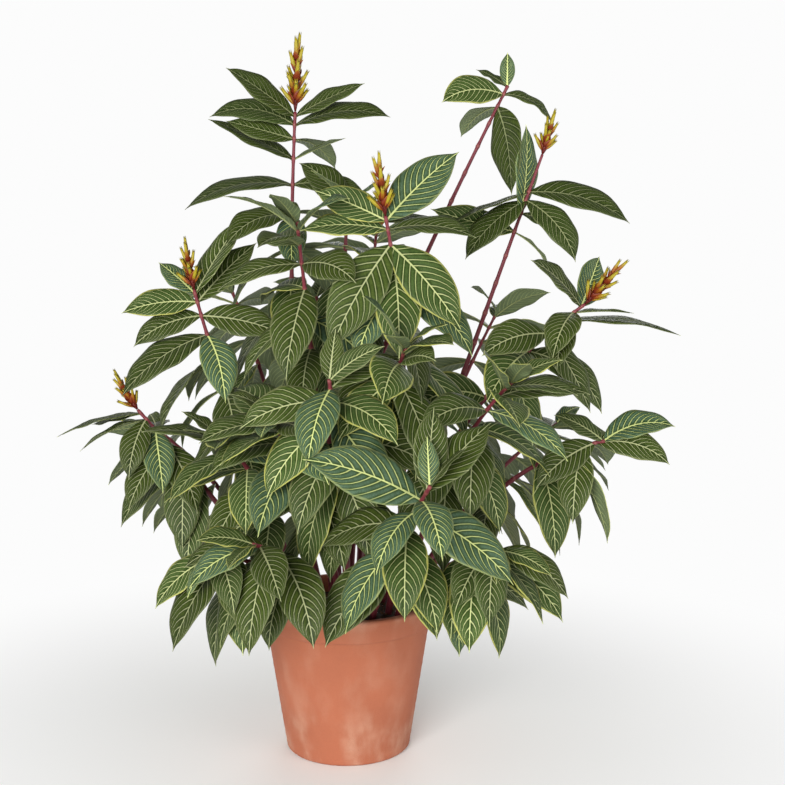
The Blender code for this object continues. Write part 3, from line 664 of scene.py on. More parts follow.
# A flower's outline from its foot to the inside of its throat, as shares of its length and
# radius. The lobes stand out of one row, how far against the radius, and the next row opens.
FLOWER_PROFILE = (
    (0.0, 0.50),
    (0.14, 0.84),
    (0.36, 1.06),
    (0.62, 1.00),
    (0.84, 0.78),
    (0.97, 0.52),
    (0.95, 0.34),
    (0.78, 0.26),
)
LOBES, LOBES_ROW, THROAT_ROW = 5, 5, 6
LOBE_REACH, LOBE_SPREAD = 2.1, 0.7
FLOWER_COLUMNS = 10
STAMEN_TURNS, STAMEN_LEAN = (0.6, 2.6), 0.35
STAMEN_RADII = (0.00035, 0.0004, 0.0007)
# A flower leans out to its bend and turns up to its mouth, both as shares of its length, and
# opens less towards the tip of its spike.
FLOWER_BEND, FLOWER_MOUTH, FLOWER_UPTURN = 0.55, 0.45, 0.25
FLOWER_CLOSING = 0.7
# Where the flowers start on the spike's core, over how much of it, and how they crowd upwards.
# Above SINGLE_ABOVE each place has one flower, and below it a second, shorter one.
FLOWERS_FROM, FLOWERS_OVER, FLOWERS_CROWD = 0.10, 0.76, 1.1
SINGLE_ABOVE = 0.45
SECOND_FLOWER = 0.8
# A bract's lean in degrees, its width, curl, curled tip and cup against its length or width, the
# shape of its outline, and how much shorter the last ones are.
BRACT_LEAN, BRACT_LEAN_SPREAD = 16, 12
BRACT_WIDTH, BRACT_CURL, BRACT_TIP, BRACT_CUP = 0.34, 0.10, 0.22, 0.55
BRACT_FOOT, BRACT_TAPER, BRACT_FINEST = 0.12, 0.8, 0.0003
BRACT_SHRINK = 0.45
BRACT_THICKNESS = 0.0006
BRACT_STANDOFF = 0.003
BRACT_COLUMNS, BRACT_ROWS = 4, 6
CORE_SLIM = 0.72
CORE_SHORT = 0.6
CORE_COLUMNS = 10
CORE_ROWS = 14

POT_ROUND = 96
WALL_RINGS, RIM_RINGS = 44, 10
RING_PITCHES = (1.9, 0.37)
SHARP = math.radians(25)
SOIL_RINGS = 30
SOIL_BUMPS, SOIL_NOISE = 60, (0.8, 2.2, 4)
# Lumps on the soil: how many are grit, their sizes, how far out they lie as a share of the
# soil's radius and how far up, and how flat and uneven they are.
GRIT_SHARE = 0.22
GRIT_SIZES, CHIP_SIZES = (0.0015, 0.0028), (0.0020, 0.0055)
LUMPS_WITHIN, LUMPS_UP = 0.95, (0.0, 0.0015)
LUMP_FLATNESS, LUMP_UNEVEN = ((0.5, 1.0), (0.3, 0.7)), (0.85, 1.15)


def shade(red, green, blue):
    """A colour given as a screen shows it, from 0 to 255, in a shader's linear values."""
    screen = Color((red / 255, green / 255, blue / 255))
    return tuple(screen.from_srgb_to_scene_linear())


def colour(name, description, red, green, blue):
    """A colour property with a default given as a screen shows it."""
    return FloatVectorProperty(
        name=name,
        description=description,
        default=shade(red, green, blue),
        size=3,
        min=0.0,
        max=1.0,
        subtype="COLOR",
    )


def length(name, description, default):
    return FloatProperty(
        name=name, description=description, default=default, min=0.0, unit="LENGTH"
    )


def number(name, description, default):
    return FloatProperty(name=name, description=description, default=default, min=0.0)


class SancheziaPotSettings(bpy.types.PropertyGroup):
    """Sizes and colours of the pot and its soil."""

    ripple: length("Ripple", "Height of the fine rings left by the potter's wheel", 0.00035)
    rounding: length("Rounding", "Radius of the rim's and the foot's edges", 0.0032)
    clay: colour("Clay", "Fired clay of the pot", 158, 90, 62)
    bloom: colour("Bloom", "Pale salts that dry out of the clay", 190, 152, 128)
    soil: colour("Soil", "Damp potting mix", 52, 40, 31)
    chip: colour("Bark chip", "Bark chips in the potting mix", 96, 66, 44)
    grit: colour("Grit", "Pale grit in the potting mix", 205, 200, 190)
    lumps: IntProperty(name="Lumps", description="Chips and grit on the soil", default=420, min=0)
    roughness: length("Soil relief", "Height of the soil's bumps", 0.0035)


class SancheziaStemSettings(bpy.types.PropertyGroup):
    """Sizes and colours of the stems."""

    swelling: length("Node swelling", "How far a stem swells where its leaves grow", 0.0013)
    bark: colour("Bark", "Dusky red bark", 116, 46, 54)
    shadow: colour("Bark streak", "Darker streaks along the bark", 84, 32, 42)
    scar: colour("Leaf scar", "Rings at the nodes", 146, 92, 80)


class SancheziaLeafSettings(bpy.types.PropertyGroup):
    """Sizes and colours of the leaf blades."""

    thickness: length("Thickness", "Thickness of a blade", 0.0009)
    vein_pairs: IntProperty(
        name="Vein pairs",
        description="Side veins on each half of a blade",
        default=12,
        min=4,
        max=16,
    )
    quilting: length("Quilting", "How far a blade bulges between its side veins", 0.0011)
    waviness: length("Waviness", "How far a blade's edge waves", 0.0024)
    rib: length("Rib", "Radius of the rib under a blade where it leaves the stem", 0.0021)
    # The colours beside the veins are painted shade, where the quilted blade dips to its veins.
    plain_panel: colour("Plain panels", "Plain leaves between their veins", 60, 72, 25)
    plain_painted_shade: colour("Plain flanks", "Plain leaves beside their veins", 30, 43, 8)
    plain_vein: colour("Plain veins", "Veins of plain leaves", 144, 148, 108)
    edged_panel: colour("Edged panels", "Yellow-edged leaves between their veins", 62, 80, 36)
    edged_painted_shade: colour("Edged flanks", "Yellow-edged leaves beside their veins", 36, 54, 12)
    edged_vein: colour("Edged veins", "Veins of yellow-edged leaves", 166, 172, 118)
    edge: colour("Yellow edge", "Edges and tips of yellow-edged leaves", 172, 170, 88)
    blue_panel: colour("Blue panels", "Blue-green leaves between their veins", 72, 94, 72)
    blue_painted_shade: colour("Blue flanks", "Blue-green leaves beside their veins", 42, 62, 26)
    blue_vein: colour("Blue veins", "Veins of blue-green leaves", 182, 190, 122)
    underside: colour("Underside", "Undersides of the blades", 98, 112, 76)
    petiole: colour("Petiole", "Leaf stalks and the ribs under the blades", 150, 158, 104)


class SancheziaFlowerSettings(bpy.types.PropertyGroup):
    """Sizes and colours of the flower spikes."""

    plumpness: number("Plumpness", "Flower width against the plain part's", 1.25)
    bract_length: length("Bract length", "Length of the lowest bracts", 0.033)
    stamen_reach: length("Stamen reach", "How far the stamens stand out of a flower", 0.005)
    yellow: colour("Yellow", "Lobes and upper tubes of the flowers", 150, 136, 30)
    orange: colour("Orange", "Middles of the flower tubes", 138, 78, 18)
    petal_green: colour("Petal green", "Tips of the flowers", 72, 80, 22)
    red: colour("Red", "Bases of the flower tubes", 108, 40, 13)
    crimson: colour("Crimson", "Bases of the bracts", 80, 18, 16)
    bract_green: colour("Bract green", "Tips of the bracts", 84, 94, 30)


class SancheziaStageSettings(bpy.types.PropertyGroup):
    """Floor, light and camera."""

    floor: colour("Floor", "Plain pale floor", 240, 240, 238)
    sky_colour: colour("Sky colour", "Plain pale background", 252, 252, 252)
    distance: length("Distance", "From the camera to the plant's middle", 2.75)
    elevation: FloatProperty(
        name="Elevation",
        description="Camera's angle above the horizon",
        default=math.radians(7),
        subtype="ANGLE",
    )
    lens: number("Lens", "Camera's focal length in millimetres", 57.4)
    key: number("Key light", "Power of the main light in watts", 285.0)
    fill: number("Fill light", "Power of each other light in watts", 60.0)
    sky: number("Sky", "Strength of the light from all round", 1.0)
    zenith: number("Zenith", "Strength of the light from overhead", 0.20)


SETTINGS = {
    "sanchezia_pot": SancheziaPotSettings,
    "sanchezia_stems": SancheziaStemSettings,
    "sanchezia_leaves": SancheziaLeafSettings,
    "sanchezia_flowers": SancheziaFlowerSettings,
    "sanchezia_stage": SancheziaStageSettings,
}


class Paint:
    """A material and the nodes that give it its finish."""

    def __init__(self, name, roughness, specular=0.5):
        self.material = bpy.data.materials.new(name)
        self.material.use_nodes = True
        self.tree = self.material.node_tree
        self.surface = self.tree.nodes["Principled BSDF"]
        self.surface.inputs["Roughness"].default_value = roughness
        self.surface.inputs["Specular IOR Level"].default_value = specular

    def plug(self, socket, value):
        if isinstance(value, bpy.types.NodeSocket):
            self.tree.links.new(value, socket)
        elif socket.type == "RGBA":
            socket.default_value = (*value, 1.0)
        else:
            socket.default_value = value

    def node(self, kind, inputs, **settings):
        node = self.tree.nodes.new(kind)
        for key, value in settings.items():
            setattr(node, key, value)
        for key, value in inputs.items():
            self.plug(node.inputs[key], value)
        return node

    def math(self, operation, *values):
        return self.node("ShaderNodeMath", dict(enumerate(values)), operation=operation).outputs[0]

    def times(self, a, b):
        return self.math("MULTIPLY", a, b)

    def line(self, value, slope, start):
        """value * slope + start"""
        return self.math("MULTIPLY_ADD", value, slope, start)

    def smooth(self, low, high, value):
        """0 below low, 1 above high, and a smooth step between."""
        sockets = {"Value": value, "From Min": low, "From Max": high}
        return self.node("ShaderNodeMapRange", sockets, interpolation_type="SMOOTHSTEP").outputs[0]

    def fade(self, low, high, value):
        """1 below low, 0 above high, and a smooth step between."""
        return self.math("SUBTRACT", 1.0, self.smooth(low, high, value))

    def mix(self, share, a, b, most=None):
        """From a at a share of 0 to b at 1, or only as far as most of the way."""
        share = share if most is None else self.times(share, most)
        return self.node("ShaderNodeMix", {0: share, 6: a, 7: b}, data_type="RGBA").outputs[2]

    def ramp(self, value, stops):
        """A run of colours: (place, colour) for each stop."""
        node = self.node("ShaderNodeValToRGB", {0: value})
        for i, (place, tint) in enumerate(stops):
            element = node.color_ramp.elements[i] if i < 2 else node.color_ramp.elements.new(place)
            element.position = place
            element.color = (*tint, 1.0)
        return node.outputs[0]

    def place(self, stretch=(1.0, 1.0, 1.0)):
        """Object coordinates, in metres."""
        where = self.node("ShaderNodeTexCoord", {}).outputs["Object"]
        return self.node("ShaderNodeMapping", {"Vector": where, "Scale": stretch}).outputs[0]

    def noise(self, where, scale, detail=3.0):
        sockets = {"Vector": where, "Scale": scale, "Detail": detail}
        return self.node("ShaderNodeTexNoise", sockets).outputs[0]

    def patches(self, low, high, where, scale, detail=3.0):
        """Soft-edged patches of noise."""
        return self.smooth(low, high, self.noise(where, scale, detail))

    def dots(self, low, high, where, scale):
        """A soft-edged dot in each cell."""
        cells = self.node("ShaderNodeTexVoronoi", {"Vector": where, "Scale": scale})
        return self.fade(low, high, cells.outputs["Distance"])

    def apart(self, vector):
        """The three coordinates of a vector."""
        return self.node("ShaderNodeSeparateXYZ", {0: vector}).outputs

    def uv(self, name):
        """The two coordinates of a UV map."""
        return self.apart(self.node("ShaderNodeUVMap", {}, uv_map=name).outputs[0])[:2]

    def attribute(self, name):
        return self.node("ShaderNodeAttribute", {}, attribute_name=name).outputs

    def toned(self, tint, value):
        return self.node("ShaderNodeHueSaturation", {"Color": tint, "Value": value}).outputs[0]

    def bump(self, height, depth):
        normal = self.node("ShaderNodeBump", {"Height": height, "Distance": depth}).outputs[0]
        self.plug(self.surface.inputs["Normal"], normal)

    def finish(self, tint):
        self.plug(self.surface.inputs["Base Color"], tint)
        return self.material


def vein_masks(paint, pairs):
    """Masks of a blade's side veins, its rib, the painted shade beside them, and its coordinates.
    """
    across_blade, along = paint.uv("veins")
    out = paint.math("ABSOLUTE", paint.line(across_blade, 2.0, -1.0))
    shift = paint.times(paint.math("GREATER_THAN", across_blade, 0.5), 1 / ROWS_PER_VEIN)
    gap = paint.math("PINGPONG", paint.line(along, pairs, shift), 0.5)
    width = paint.line(out, -0.050, 0.132)
    ends = paint.times(paint.smooth(0.03, 0.07, along), paint.fade(0.80, 0.95, along))
    lateral = paint.times(paint.fade(paint.times(width, 0.15), width, gap), ends)
    away = paint.attribute("rib_mm")["Fac"]
    rib_width = paint.line(along, -1.9, 2.8)
    rib = paint.fade(paint.times(rib_width, 0.40), rib_width, away)
    # Painted shade: darker bands beside the side veins and near the rib, where the quilted blade
    # dips.
    painted_shade = paint.math("MAXIMUM", paint.fade(0.12, 0.42, gap), paint.fade(2.5, 8.0, away))
    return lateral, rib, painted_shade, out, along


def leaf_material(settings):
    """Satin upper face: greyish panels, painted shade by the pale veins, and on some a yellow edge.
    """
    paint = Paint("leaf_upper_face", 0.48, 0.14)
    lateral, rib, painted_shade, out, along = vein_masks(paint, settings.vein_pairs)
    look = paint.attribute("look")
    blue, rim, high_leaf_shade = paint.node("ShaderNodeSeparateColor", {0: look["Color"]}).outputs[:3]

    def by_look(part):
        plain, edged, bluish = (getattr(settings, f"{kind}_{part}") for kind in LOOKS)
        return paint.mix(blue, paint.mix(rim, plain, edged), bluish)

    panel = by_look("panel")
    # Painted shade fades the veins of high plain leaves towards their panels.
    vein = paint.mix(high_leaf_shade, by_look("vein"), panel)
    where = paint.place()
    mottle = paint.patches(0.30, 0.70, where, 62.0, 2.0)
    grain = paint.patches(0.25, 0.75, where, 330.0, 1.0)
    # Painted shade beside the veins, broken up by mottling.
    beside = paint.line(painted_shade, 0.78, paint.line(mottle, 0.34, -0.10))
    blade = paint.toned(paint.mix(beside, panel, by_look("painted_shade")), paint.line(grain, 0.34, 0.83))
    edge = paint.smooth(0.92, 0.99, paint.line(mottle, 0.04, out))
    margin = paint.math("MAXIMUM", edge, paint.smooth(0.93, 0.97, along))
    margin = paint.times(margin, paint.line(rim, 0.60, 0.22))
    blade = paint.mix(margin, blade, paint.mix(rim, vein, settings.edge))
    kept = paint.line(paint.times(blue, paint.smooth(0.50, 1.0, out)), -0.55, 0.92)
    tint = paint.mix(paint.times(lateral, kept), blade, vein)
    tint = paint.mix(rib, tint, paint.toned(vein, 1.15))
    paint.bump(paint.noise(where, 520.0, 0.0), 0.0004)
    # Each leaf's alpha darkens it: a random tone, and painted shade on high plain leaves.
    return paint.finish(paint.toned(tint, look["Alpha"]))


def underside_material(settings):
    """Paler and duller than the upper face, with raised veins."""
    paint = Paint("leaf_underside", 0.66)
    lateral, rib = vein_masks(paint, settings.vein_pairs)[:2]
    mottle = paint.patches(0.35, 0.70, paint.place(), 45.0)
    duller = paint.toned(settings.underside, 0.8)
    blade = paint.mix(mottle, settings.underside, duller, most=0.4)
    veins = paint.math("MAXIMUM", lateral, rib)
    return paint.finish(paint.mix(veins, blade, settings.petiole, most=0.75))


def petiole_material(settings):
    paint = Paint("leaf_stalk", 0.5)
    streak = paint.noise(paint.place((1.0, 1.0, 0.3)), 300.0)
    return paint.finish(paint.mix(streak, settings.petiole, paint.toned(settings.petiole, 0.72)))


def bark_material(settings):
    """Smooth dusky red bark with darker streaks along it, pale dots and rings at the nodes."""
    paint = Paint("red_bark", 0.48, 0.25)
    around, along = paint.uv("bark")
    joined = paint.node("ShaderNodeCombineXYZ", {0: paint.times(around, 5.0), 1: along})
    streak = paint.noise(joined.outputs[0], 7.0, 4.0)
    where = paint.place()
    tint = paint.mix(paint.smooth(0.38, 0.72, streak), settings.bark, settings.shadow)
    blotch = paint.patches(0.45, 0.75, where, 38.0)
    tint = paint.mix(blotch, tint, paint.toned(tint, 1.3), most=0.35)
    dots = paint.dots(0.10, 0.20, where, 330.0)
    tint = paint.mix(dots, tint, settings.scar, most=0.30)
    ring = paint.smooth(0.45, 0.95, paint.attribute("scar")["Fac"])
    tint = paint.mix(ring, tint, settings.scar, most=0.45)
    paint.bump(paint.line(dots, 0.5, streak), 0.0004)
    return paint.finish(tint)


def petal_material(settings):
    """Waxy flower tubes, red at the base, then orange and yellow, with greenish tips."""
    paint = Paint("flower_petals", 0.42, 0.25)
    around, along = paint.uv("petal")
    ripple = paint.noise(paint.place(), 260.0, 1.0)
    shift = paint.line(paint.attribute("tone")["Fac"], -0.30, 0.15)
    place = paint.math("ADD", paint.math("ADD", along, paint.line(ripple, 0.20, -0.10)), shift)
    stops = [
        (0.07, settings.red),
        (0.97, settings.petal_green),
        (0.25, settings.orange),
        (0.48, settings.yellow),
        (0.82, settings.yellow),
    ]
    tint = paint.ramp(place, stops)
    stripe = paint.math("PINGPONG", paint.times(around, 5.0), 0.5)
    return paint.finish(paint.mix(paint.fade(0.02, 0.16, stripe), tint, paint.toned(tint, 0.72)))


def bract_material(settings):
    """Bracts: crimson at the base, red, and orange or green at the tip."""
    paint = Paint("flower_bracts", 0.46, 0.25)
    along = paint.uv("petal")[1]
    greenish = paint.smooth(0.55, 0.75, paint.attribute("tone")["Fac"])
    tip = paint.mix(greenish, settings.orange, settings.bract_green)
    tint = paint.mix(paint.smooth(0.05, 0.45, along), settings.crimson, settings.red)
    tint = paint.mix(paint.smooth(0.55, 1.0, along), tint, tip)
    stripe = paint.noise(paint.place(), 300.0)
    paint.bump(stripe, 0.0003)
    return paint.finish(paint.toned(tint, paint.line(stripe, 0.5, 0.75)))


def clay_material(settings):
    """Unglazed clay: fired patches, fine grain, and pale salts near the foot and the rim."""
    paint = Paint("terracotta", 0.88)
    where = paint.place()
    patch = paint.patches(0.35, 0.70, where, 9.0, 5.0)
    grain = paint.noise(where, 900.0, 2.0)
    tint = paint.mix(patch, settings.clay, paint.toned(settings.clay, 0.80), most=0.5)
    height = paint.apart(where)[2]
    high = paint.smooth(POT_HEIGHT - 0.03, POT_HEIGHT + 0.01, height)
    ends = paint.math("MAXIMUM", paint.fade(0.01, 0.16, height), high)
    salt = paint.patches(0.44, 0.74, paint.place((1.0, 1.0, 0.55)), 16.0, 6.0)
    tint = paint.mix(paint.times(salt, paint.line(ends, 0.5, 0.16)), tint, settings.bloom)
    specks = paint.dots(0.08, 0.22, where, 210.0)
    tint = paint.mix(specks, tint, paint.toned(settings.clay, 0.55), most=0.30)
    paint.bump(paint.line(specks, -0.6, grain), 0.0007)
    return paint.finish(paint.toned(tint, paint.line(grain, 0.34, 0.83)))


def soil_material(settings):
    """Dark crumbly potting mix."""
    paint = Paint("potting_mix", 0.96)
    where = paint.place()
    cells = paint.node("ShaderNodeTexVoronoi", {"Vector": where, "Scale": 170.0})
    fine = paint.noise(where, 620.0, 4.0)
    damp = paint.patches(0.35, 0.65, where, 26.0)
    tint = paint.mix(damp, settings.soil, paint.toned(settings.soil, 1.6))
    paint.bump(paint.line(fine, 0.6, paint.times(cells.outputs["Distance"], -1.0)), 0.003)
    return paint.finish(paint.toned(tint, paint.line(fine, 1.1, 0.45)))


def lump_material(name, tint):
    paint = Paint(name, 0.9)
    grain = paint.noise(paint.place(), 380.0, 4.0)
    paint.bump(grain, 0.001)
    return paint.finish(paint.toned(tint, paint.line(grain, 0.9, 0.55)))


def mesh_from(bm, name):
    mesh = bpy.data.meshes.new(name)
    bm.to_mesh(mesh)
    bm.free()
    return mesh


def linked(name, data):
    """A new object in the scene."""
    thing = bpy.data.objects.new(name, data)
    bpy.context.scene.collection.objects.link(thing)
    return thing


def dressed(name, bm, materials, nodes):
    """The finished piece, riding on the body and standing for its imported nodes."""
    mesh = mesh_from(bm, name)
    for material in materials:
        mesh.materials.append(material)
    piece = linked(name, mesh)
    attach(piece, "root")
    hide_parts(*nodes)
    return piece


def layered(uv_name, **layers):
    """An empty bmesh with a UV map, and a layer of some kind at its points for each name."""
    bm = bmesh.new()
    bm.loops.layers.uv.new(uv_name)
    for name, kind in layers.items():
        getattr(bm.verts.layers, kind).new(name)
    return bm


def shaped_grid(bm, columns, rows, place, uv_name, material):
    """A grid with each point moved to place(across, along), both running from 0 to 1."""
    made = bmesh.ops.create_grid(bm, x_segments=columns, y_segments=rows, size=1.0)["verts"]
    uv = bm.loops.layers.uv[uv_name]
    faces = {face for vert in made for face in vert.link_faces}
    for face in faces:
        face.smooth = True
        face.material_index = material
        for loop in face.loops:
            loop[uv].uv = (loop.vert.co.x / 2 + 0.5, loop.vert.co.y / 2 + 0.5)
    for vert in made:
        vert.co = place(vert.co.x / 2 + 0.5, vert.co.y / 2 + 0.5)
    return made, faces


def add_tube(bm, columns, rows, place, uv_name, material):
    """A closed tube: the grid's two long edges are joined and its ends are filled."""
    made, faces = shaped_grid(bm, columns, rows, place, uv_name, material)
    bmesh.ops.remove_doubles(bm, verts=made, dist=1e-7)
    kept = [vert for vert in made if vert.is_valid]
    rims = {edge for vert in kept for edge in vert.link_edges if edge.is_boundary}
    filled = bmesh.ops.holes_fill(bm, edges=list(rims), sides=0)["faces"]
    for face in filled:
        face.material_index = material
    return kept


def tube_along(centres, radii):
    """place() for a round tube through centres, with a radius at each."""
    rings = list(rings_along(centres))

    def place(around, along):
        row = round(along * (len(rings) - 1))
        centre, u, v = rings[row]
        return centre + spoke(u, v, 2 * math.pi * around) * radii[row]

    return place


def blade_template(pairs):
    """A flat blade: x from edge to edge, y from base to tip, and z 0 above and -1 below."""
    bm = layered("veins", look="float_color", rib_mm="float")
    rows = pairs * ROWS_PER_VEIN
    bmesh.ops.create_grid(bm, x_segments=BLADE_COLUMNS, y_segments=rows, size=1.0)
    bmesh.ops.solidify(bm, geom=bm.faces[:], thickness=1.0)
    uv = bm.loops.layers.uv["veins"]
    for face in bm.faces:
        face.smooth = True
        face.material_index = 1 if all(vert.co.z < -0.5 for vert in face.verts) else 0
        for loop in face.loops:
            loop[uv].uv = (loop.vert.co.x / 2 + 0.5, loop.vert.co.y / 2 + 0.5)
    return mesh_from(bm, "blade_template")


def blade_half_width(t):
    """The laid-out half width, with a slim foot and a fine tip, as a share of the widest."""
    width = PETIOLE_WIDTH + (leaf_half_width(t) - PETIOLE_WIDTH) * smoothstep(t / PETIOLE_SHARE)
    return max(FINEST_TIP, width)


def blade_point(leaf, frames, settings, waves, u, v, depth):
    """A template point on the bent, folded, quilted blade, and its distance from the rib."""
    out = abs(u)
    start = v * (ROOT_CROWDING + (1 - ROOT_CROWDING) * v)
    sweep = VEIN_START * out + (1 - VEIN_START) * out * out
    t = start + (1 - (1 - start) ** VEIN_SWEEP - start) * sweep
    point, _, side, normal = frame_at(frames, t)
    half = leaf.length * LEAF_ASPECT / 2 * blade_half_width(t)
    relief = min(1.0, half / FULL_RELIEF)
    phase = v * settings.vein_pairs + (1 / ROWS_PER_VEIN if u > 0 else 0)
    bulge = settings.quilting * math.sin(math.pi * (phase % 1.0))
    bulge *= QUILT_SIDES + QUILT_MIDDLE * out * (1 - out)
    bulge *= relief
    wave = settings.waviness * out**2 * math.sin(math.pi * t)
    wave *= math.sin(waves[0] * t + waves[1 + (u > 0)])
    lift = half * (out * math.sin(leaf.fold) - BLADE_DROOP * out**3) + bulge + wave
    lift -= GROOVE * max(0.0, 1 - GROOVE_SLOPE * out) * relief
    across_blade = -math.copysign(half * out, u) * math.cos(leaf.fold)
    return point + side * across_blade + normal * (lift + depth * settings.thickness), half * out


def add_blade(bm, template, leaf, frames, settings, draw):
    """A leaf's blade, bent from the template. Nothing may have been deleted from bm before."""
    start = len(bm.verts)
    bm.from_mesh(template)
    bm.verts.ensure_lookup_table()
    look, rib_mm = bm.verts.layers.float_color["look"], bm.verts.layers.float["rib_mm"]
    shares = (share + draw.uniform(-LOOK_SPREAD, LOOK_SPREAD) for share in LOOKS[leaf.look])
    blue, rim = (min(1.0, max(0.0, share)) for share in shares)
    # Painted shade: plain leaves that start high up are darker and have fainter veins.
    high = min(1.0, max(0.0, (leaf.root.z - HIGH_SHADE_FROM) / HIGH_SHADE_OVER))
    high_leaf_shade = MOST_HIGH_SHADE * high * (1 - blue) * (1 - rim)
    tone = (1.0 + draw.uniform(-TONE_SPREAD, TONE_SPREAD)) * (1 - PAINTED_SHADE_DEPTH * high_leaf_shade)
    waves = [draw.uniform(*span) for span in (WAVE_PITCH, WAVE_STARTS, WAVE_STARTS)]
    for vert in bm.verts[start:]:
        u, v, depth = vert.co.x, vert.co.y / 2 + 0.5, vert.co.z
        vert.co, away = blade_point(leaf, frames, settings, waves, u, v, depth)
        vert[look] = (blue, rim, high_leaf_shade, tone)
        vert[rib_mm] = away * 1000


def add_rib(bm, leaf, frames, settings):
    """The rib that runs under a blade from the stem."""
    size = leaf.length / LEAF_LENGTH
    centres, radii = [], []
    for i in range(RIB_ROWS + 1):
        t = RIB_END * i / RIB_ROWS
        point, _, _, normal = frame_at(frames, t)
        radius = size * settings.rib * (1 - t) ** RIB_TAPER + RIB_FINEST
        centres.append(point - normal * (settings.thickness + GROOVE * 0.5 + radius * RIB_SUNK))
        radii.append(radius)
    add_tube(bm, RIB_SIDES, RIB_ROWS, tube_along(centres, radii), "veins", 2)


def add_bark(bm, shoot, settings):
    """A four-angled stem with soft corners, swollen at its nodes."""
    curve = stem_curve(shoot)
    length = curve_length(curve)
    straight = STEM_BURIED + STEM_STRAIGHT
    rows = round(length / BARK_STATION)
    nodes = [length - down for down in pair_places(shoot, length - STEM_BURIED - STEM_STRAIGHT)]
    rings = []
    for i in range(rows + 1):
        along = length * i / rows
        centre, direction = at_length(curve, along)
        near = min((abs(along - node) for node in nodes), default=1.0)
        swell = math.exp(-((near / NODE_SPAN) ** 2))
        radius = stem_radius(max(0.0, along - straight) / (length - straight))
        rings.append((centre, *across(direction), radius, swell))
    spin = stem_spin(shoot)
    scar = bm.verts.layers.float["scar"]

    def place(around, share):
        centre, u, v, radius, swell = rings[round(share * rows)]
        angle = 2 * math.pi * around
        corner = 1 + CORNER_SHARE * math.cos(STEM_SIDES * (angle - spin))
        radius = radius * corner * BARK_SLIM + settings.swelling * swell
        return centre + spoke(u, v, angle) * radius

    made = add_tube(bm, BARK_SIDES, rows, place, "bark", 0)
    for vert in made:
        along = min(range(rows + 1), key=lambda i: (rings[i][0] - vert.co).length_squared)
        vert[scar] = rings[along][4]


def add_flower(bm, root, bent, mouth, size, opening, tone, settings):
    """A curved tube that ends in five pointed lobes, with stamens standing out of its throat."""
    rows = len(FLOWER_PROFILE) - 1
    radius = FLOWER_RADIUS * size * settings.plumpness
    rings = []
    for share, wide in FLOWER_PROFILE:
        centre = root * (1 - share) ** 2 + bent * 2 * share * (1 - share) + mouth * share * share
        ahead = ((bent - root) * (1 - share) + (mouth - bent) * share).normalized()
        rings.append((centre, ahead, *across(ahead), radius * wide))

    def place(around, along):
        row = round(along * rows)
        centre, ahead, u, v, wide = rings[row]
        angle = 2 * math.pi * around
        lobe = 0.5 + 0.5 * math.cos(LOBES * angle) if row == LOBES_ROW else 0.0
        if row == THROAT_ROW:
            wide *= opening
        spread = spoke(u, v, angle) * wide * (1 + LOBE_SPREAD * lobe * opening)
        return centre + spread + ahead * radius * LOBE_REACH * lobe

    made = add_tube(bm, FLOWER_COLUMNS, rows, place, "petal", 0)
    ahead = (mouth - bent).normalized()
    u, v = across(ahead)
    for turn in STAMEN_TURNS:
        lean = spoke(u, v, turn) * radius * STAMEN_LEAN
        start = mouth - ahead * radius * 2 + lean * 0.5
        end = mouth + ahead * settings.stamen_reach * size * opening + lean
        centres = [start, start.lerp(end, 0.7), end]
        made += add_tube(bm, 3, 2, tube_along(centres, STAMEN_RADII), "petal", 2)
    layer = bm.verts.layers.float["tone"]
    for vert in made:
        vert[layer] = tone


def add_bract(bm, root, ahead, outward, reach, tone):
    """A pointed, cupped bract that hugs the flowers."""
    sideways = ahead.cross(outward).normalized()

    def place(x, along):
        grown = min(1.0, BRACT_FOOT + (1 - BRACT_FOOT) * along)
        wide = reach * BRACT_WIDTH * math.sin(math.pi * grown) ** BRACT_TAPER + BRACT_FINEST
        u = 2 * x - 1
        curl = reach * BRACT_CURL * math.sin(math.pi * along) + reach * BRACT_TIP * along**3
        cup = outward * (curl - wide * BRACT_CUP * u * u)
        return root + ahead * reach * along + sideways * wide * u + cup

    made, faces = shaped_grid(bm, BRACT_COLUMNS, BRACT_ROWS, place, "petal", 1)
    layer = bm.verts.layers.float["tone"]
    for vert in made:
        vert[layer] = tone
    bmesh.ops.recalc_face_normals(bm, faces=list(faces))
    bmesh.ops.solidify(bm, geom=list(faces), thickness=BRACT_THICKNESS)


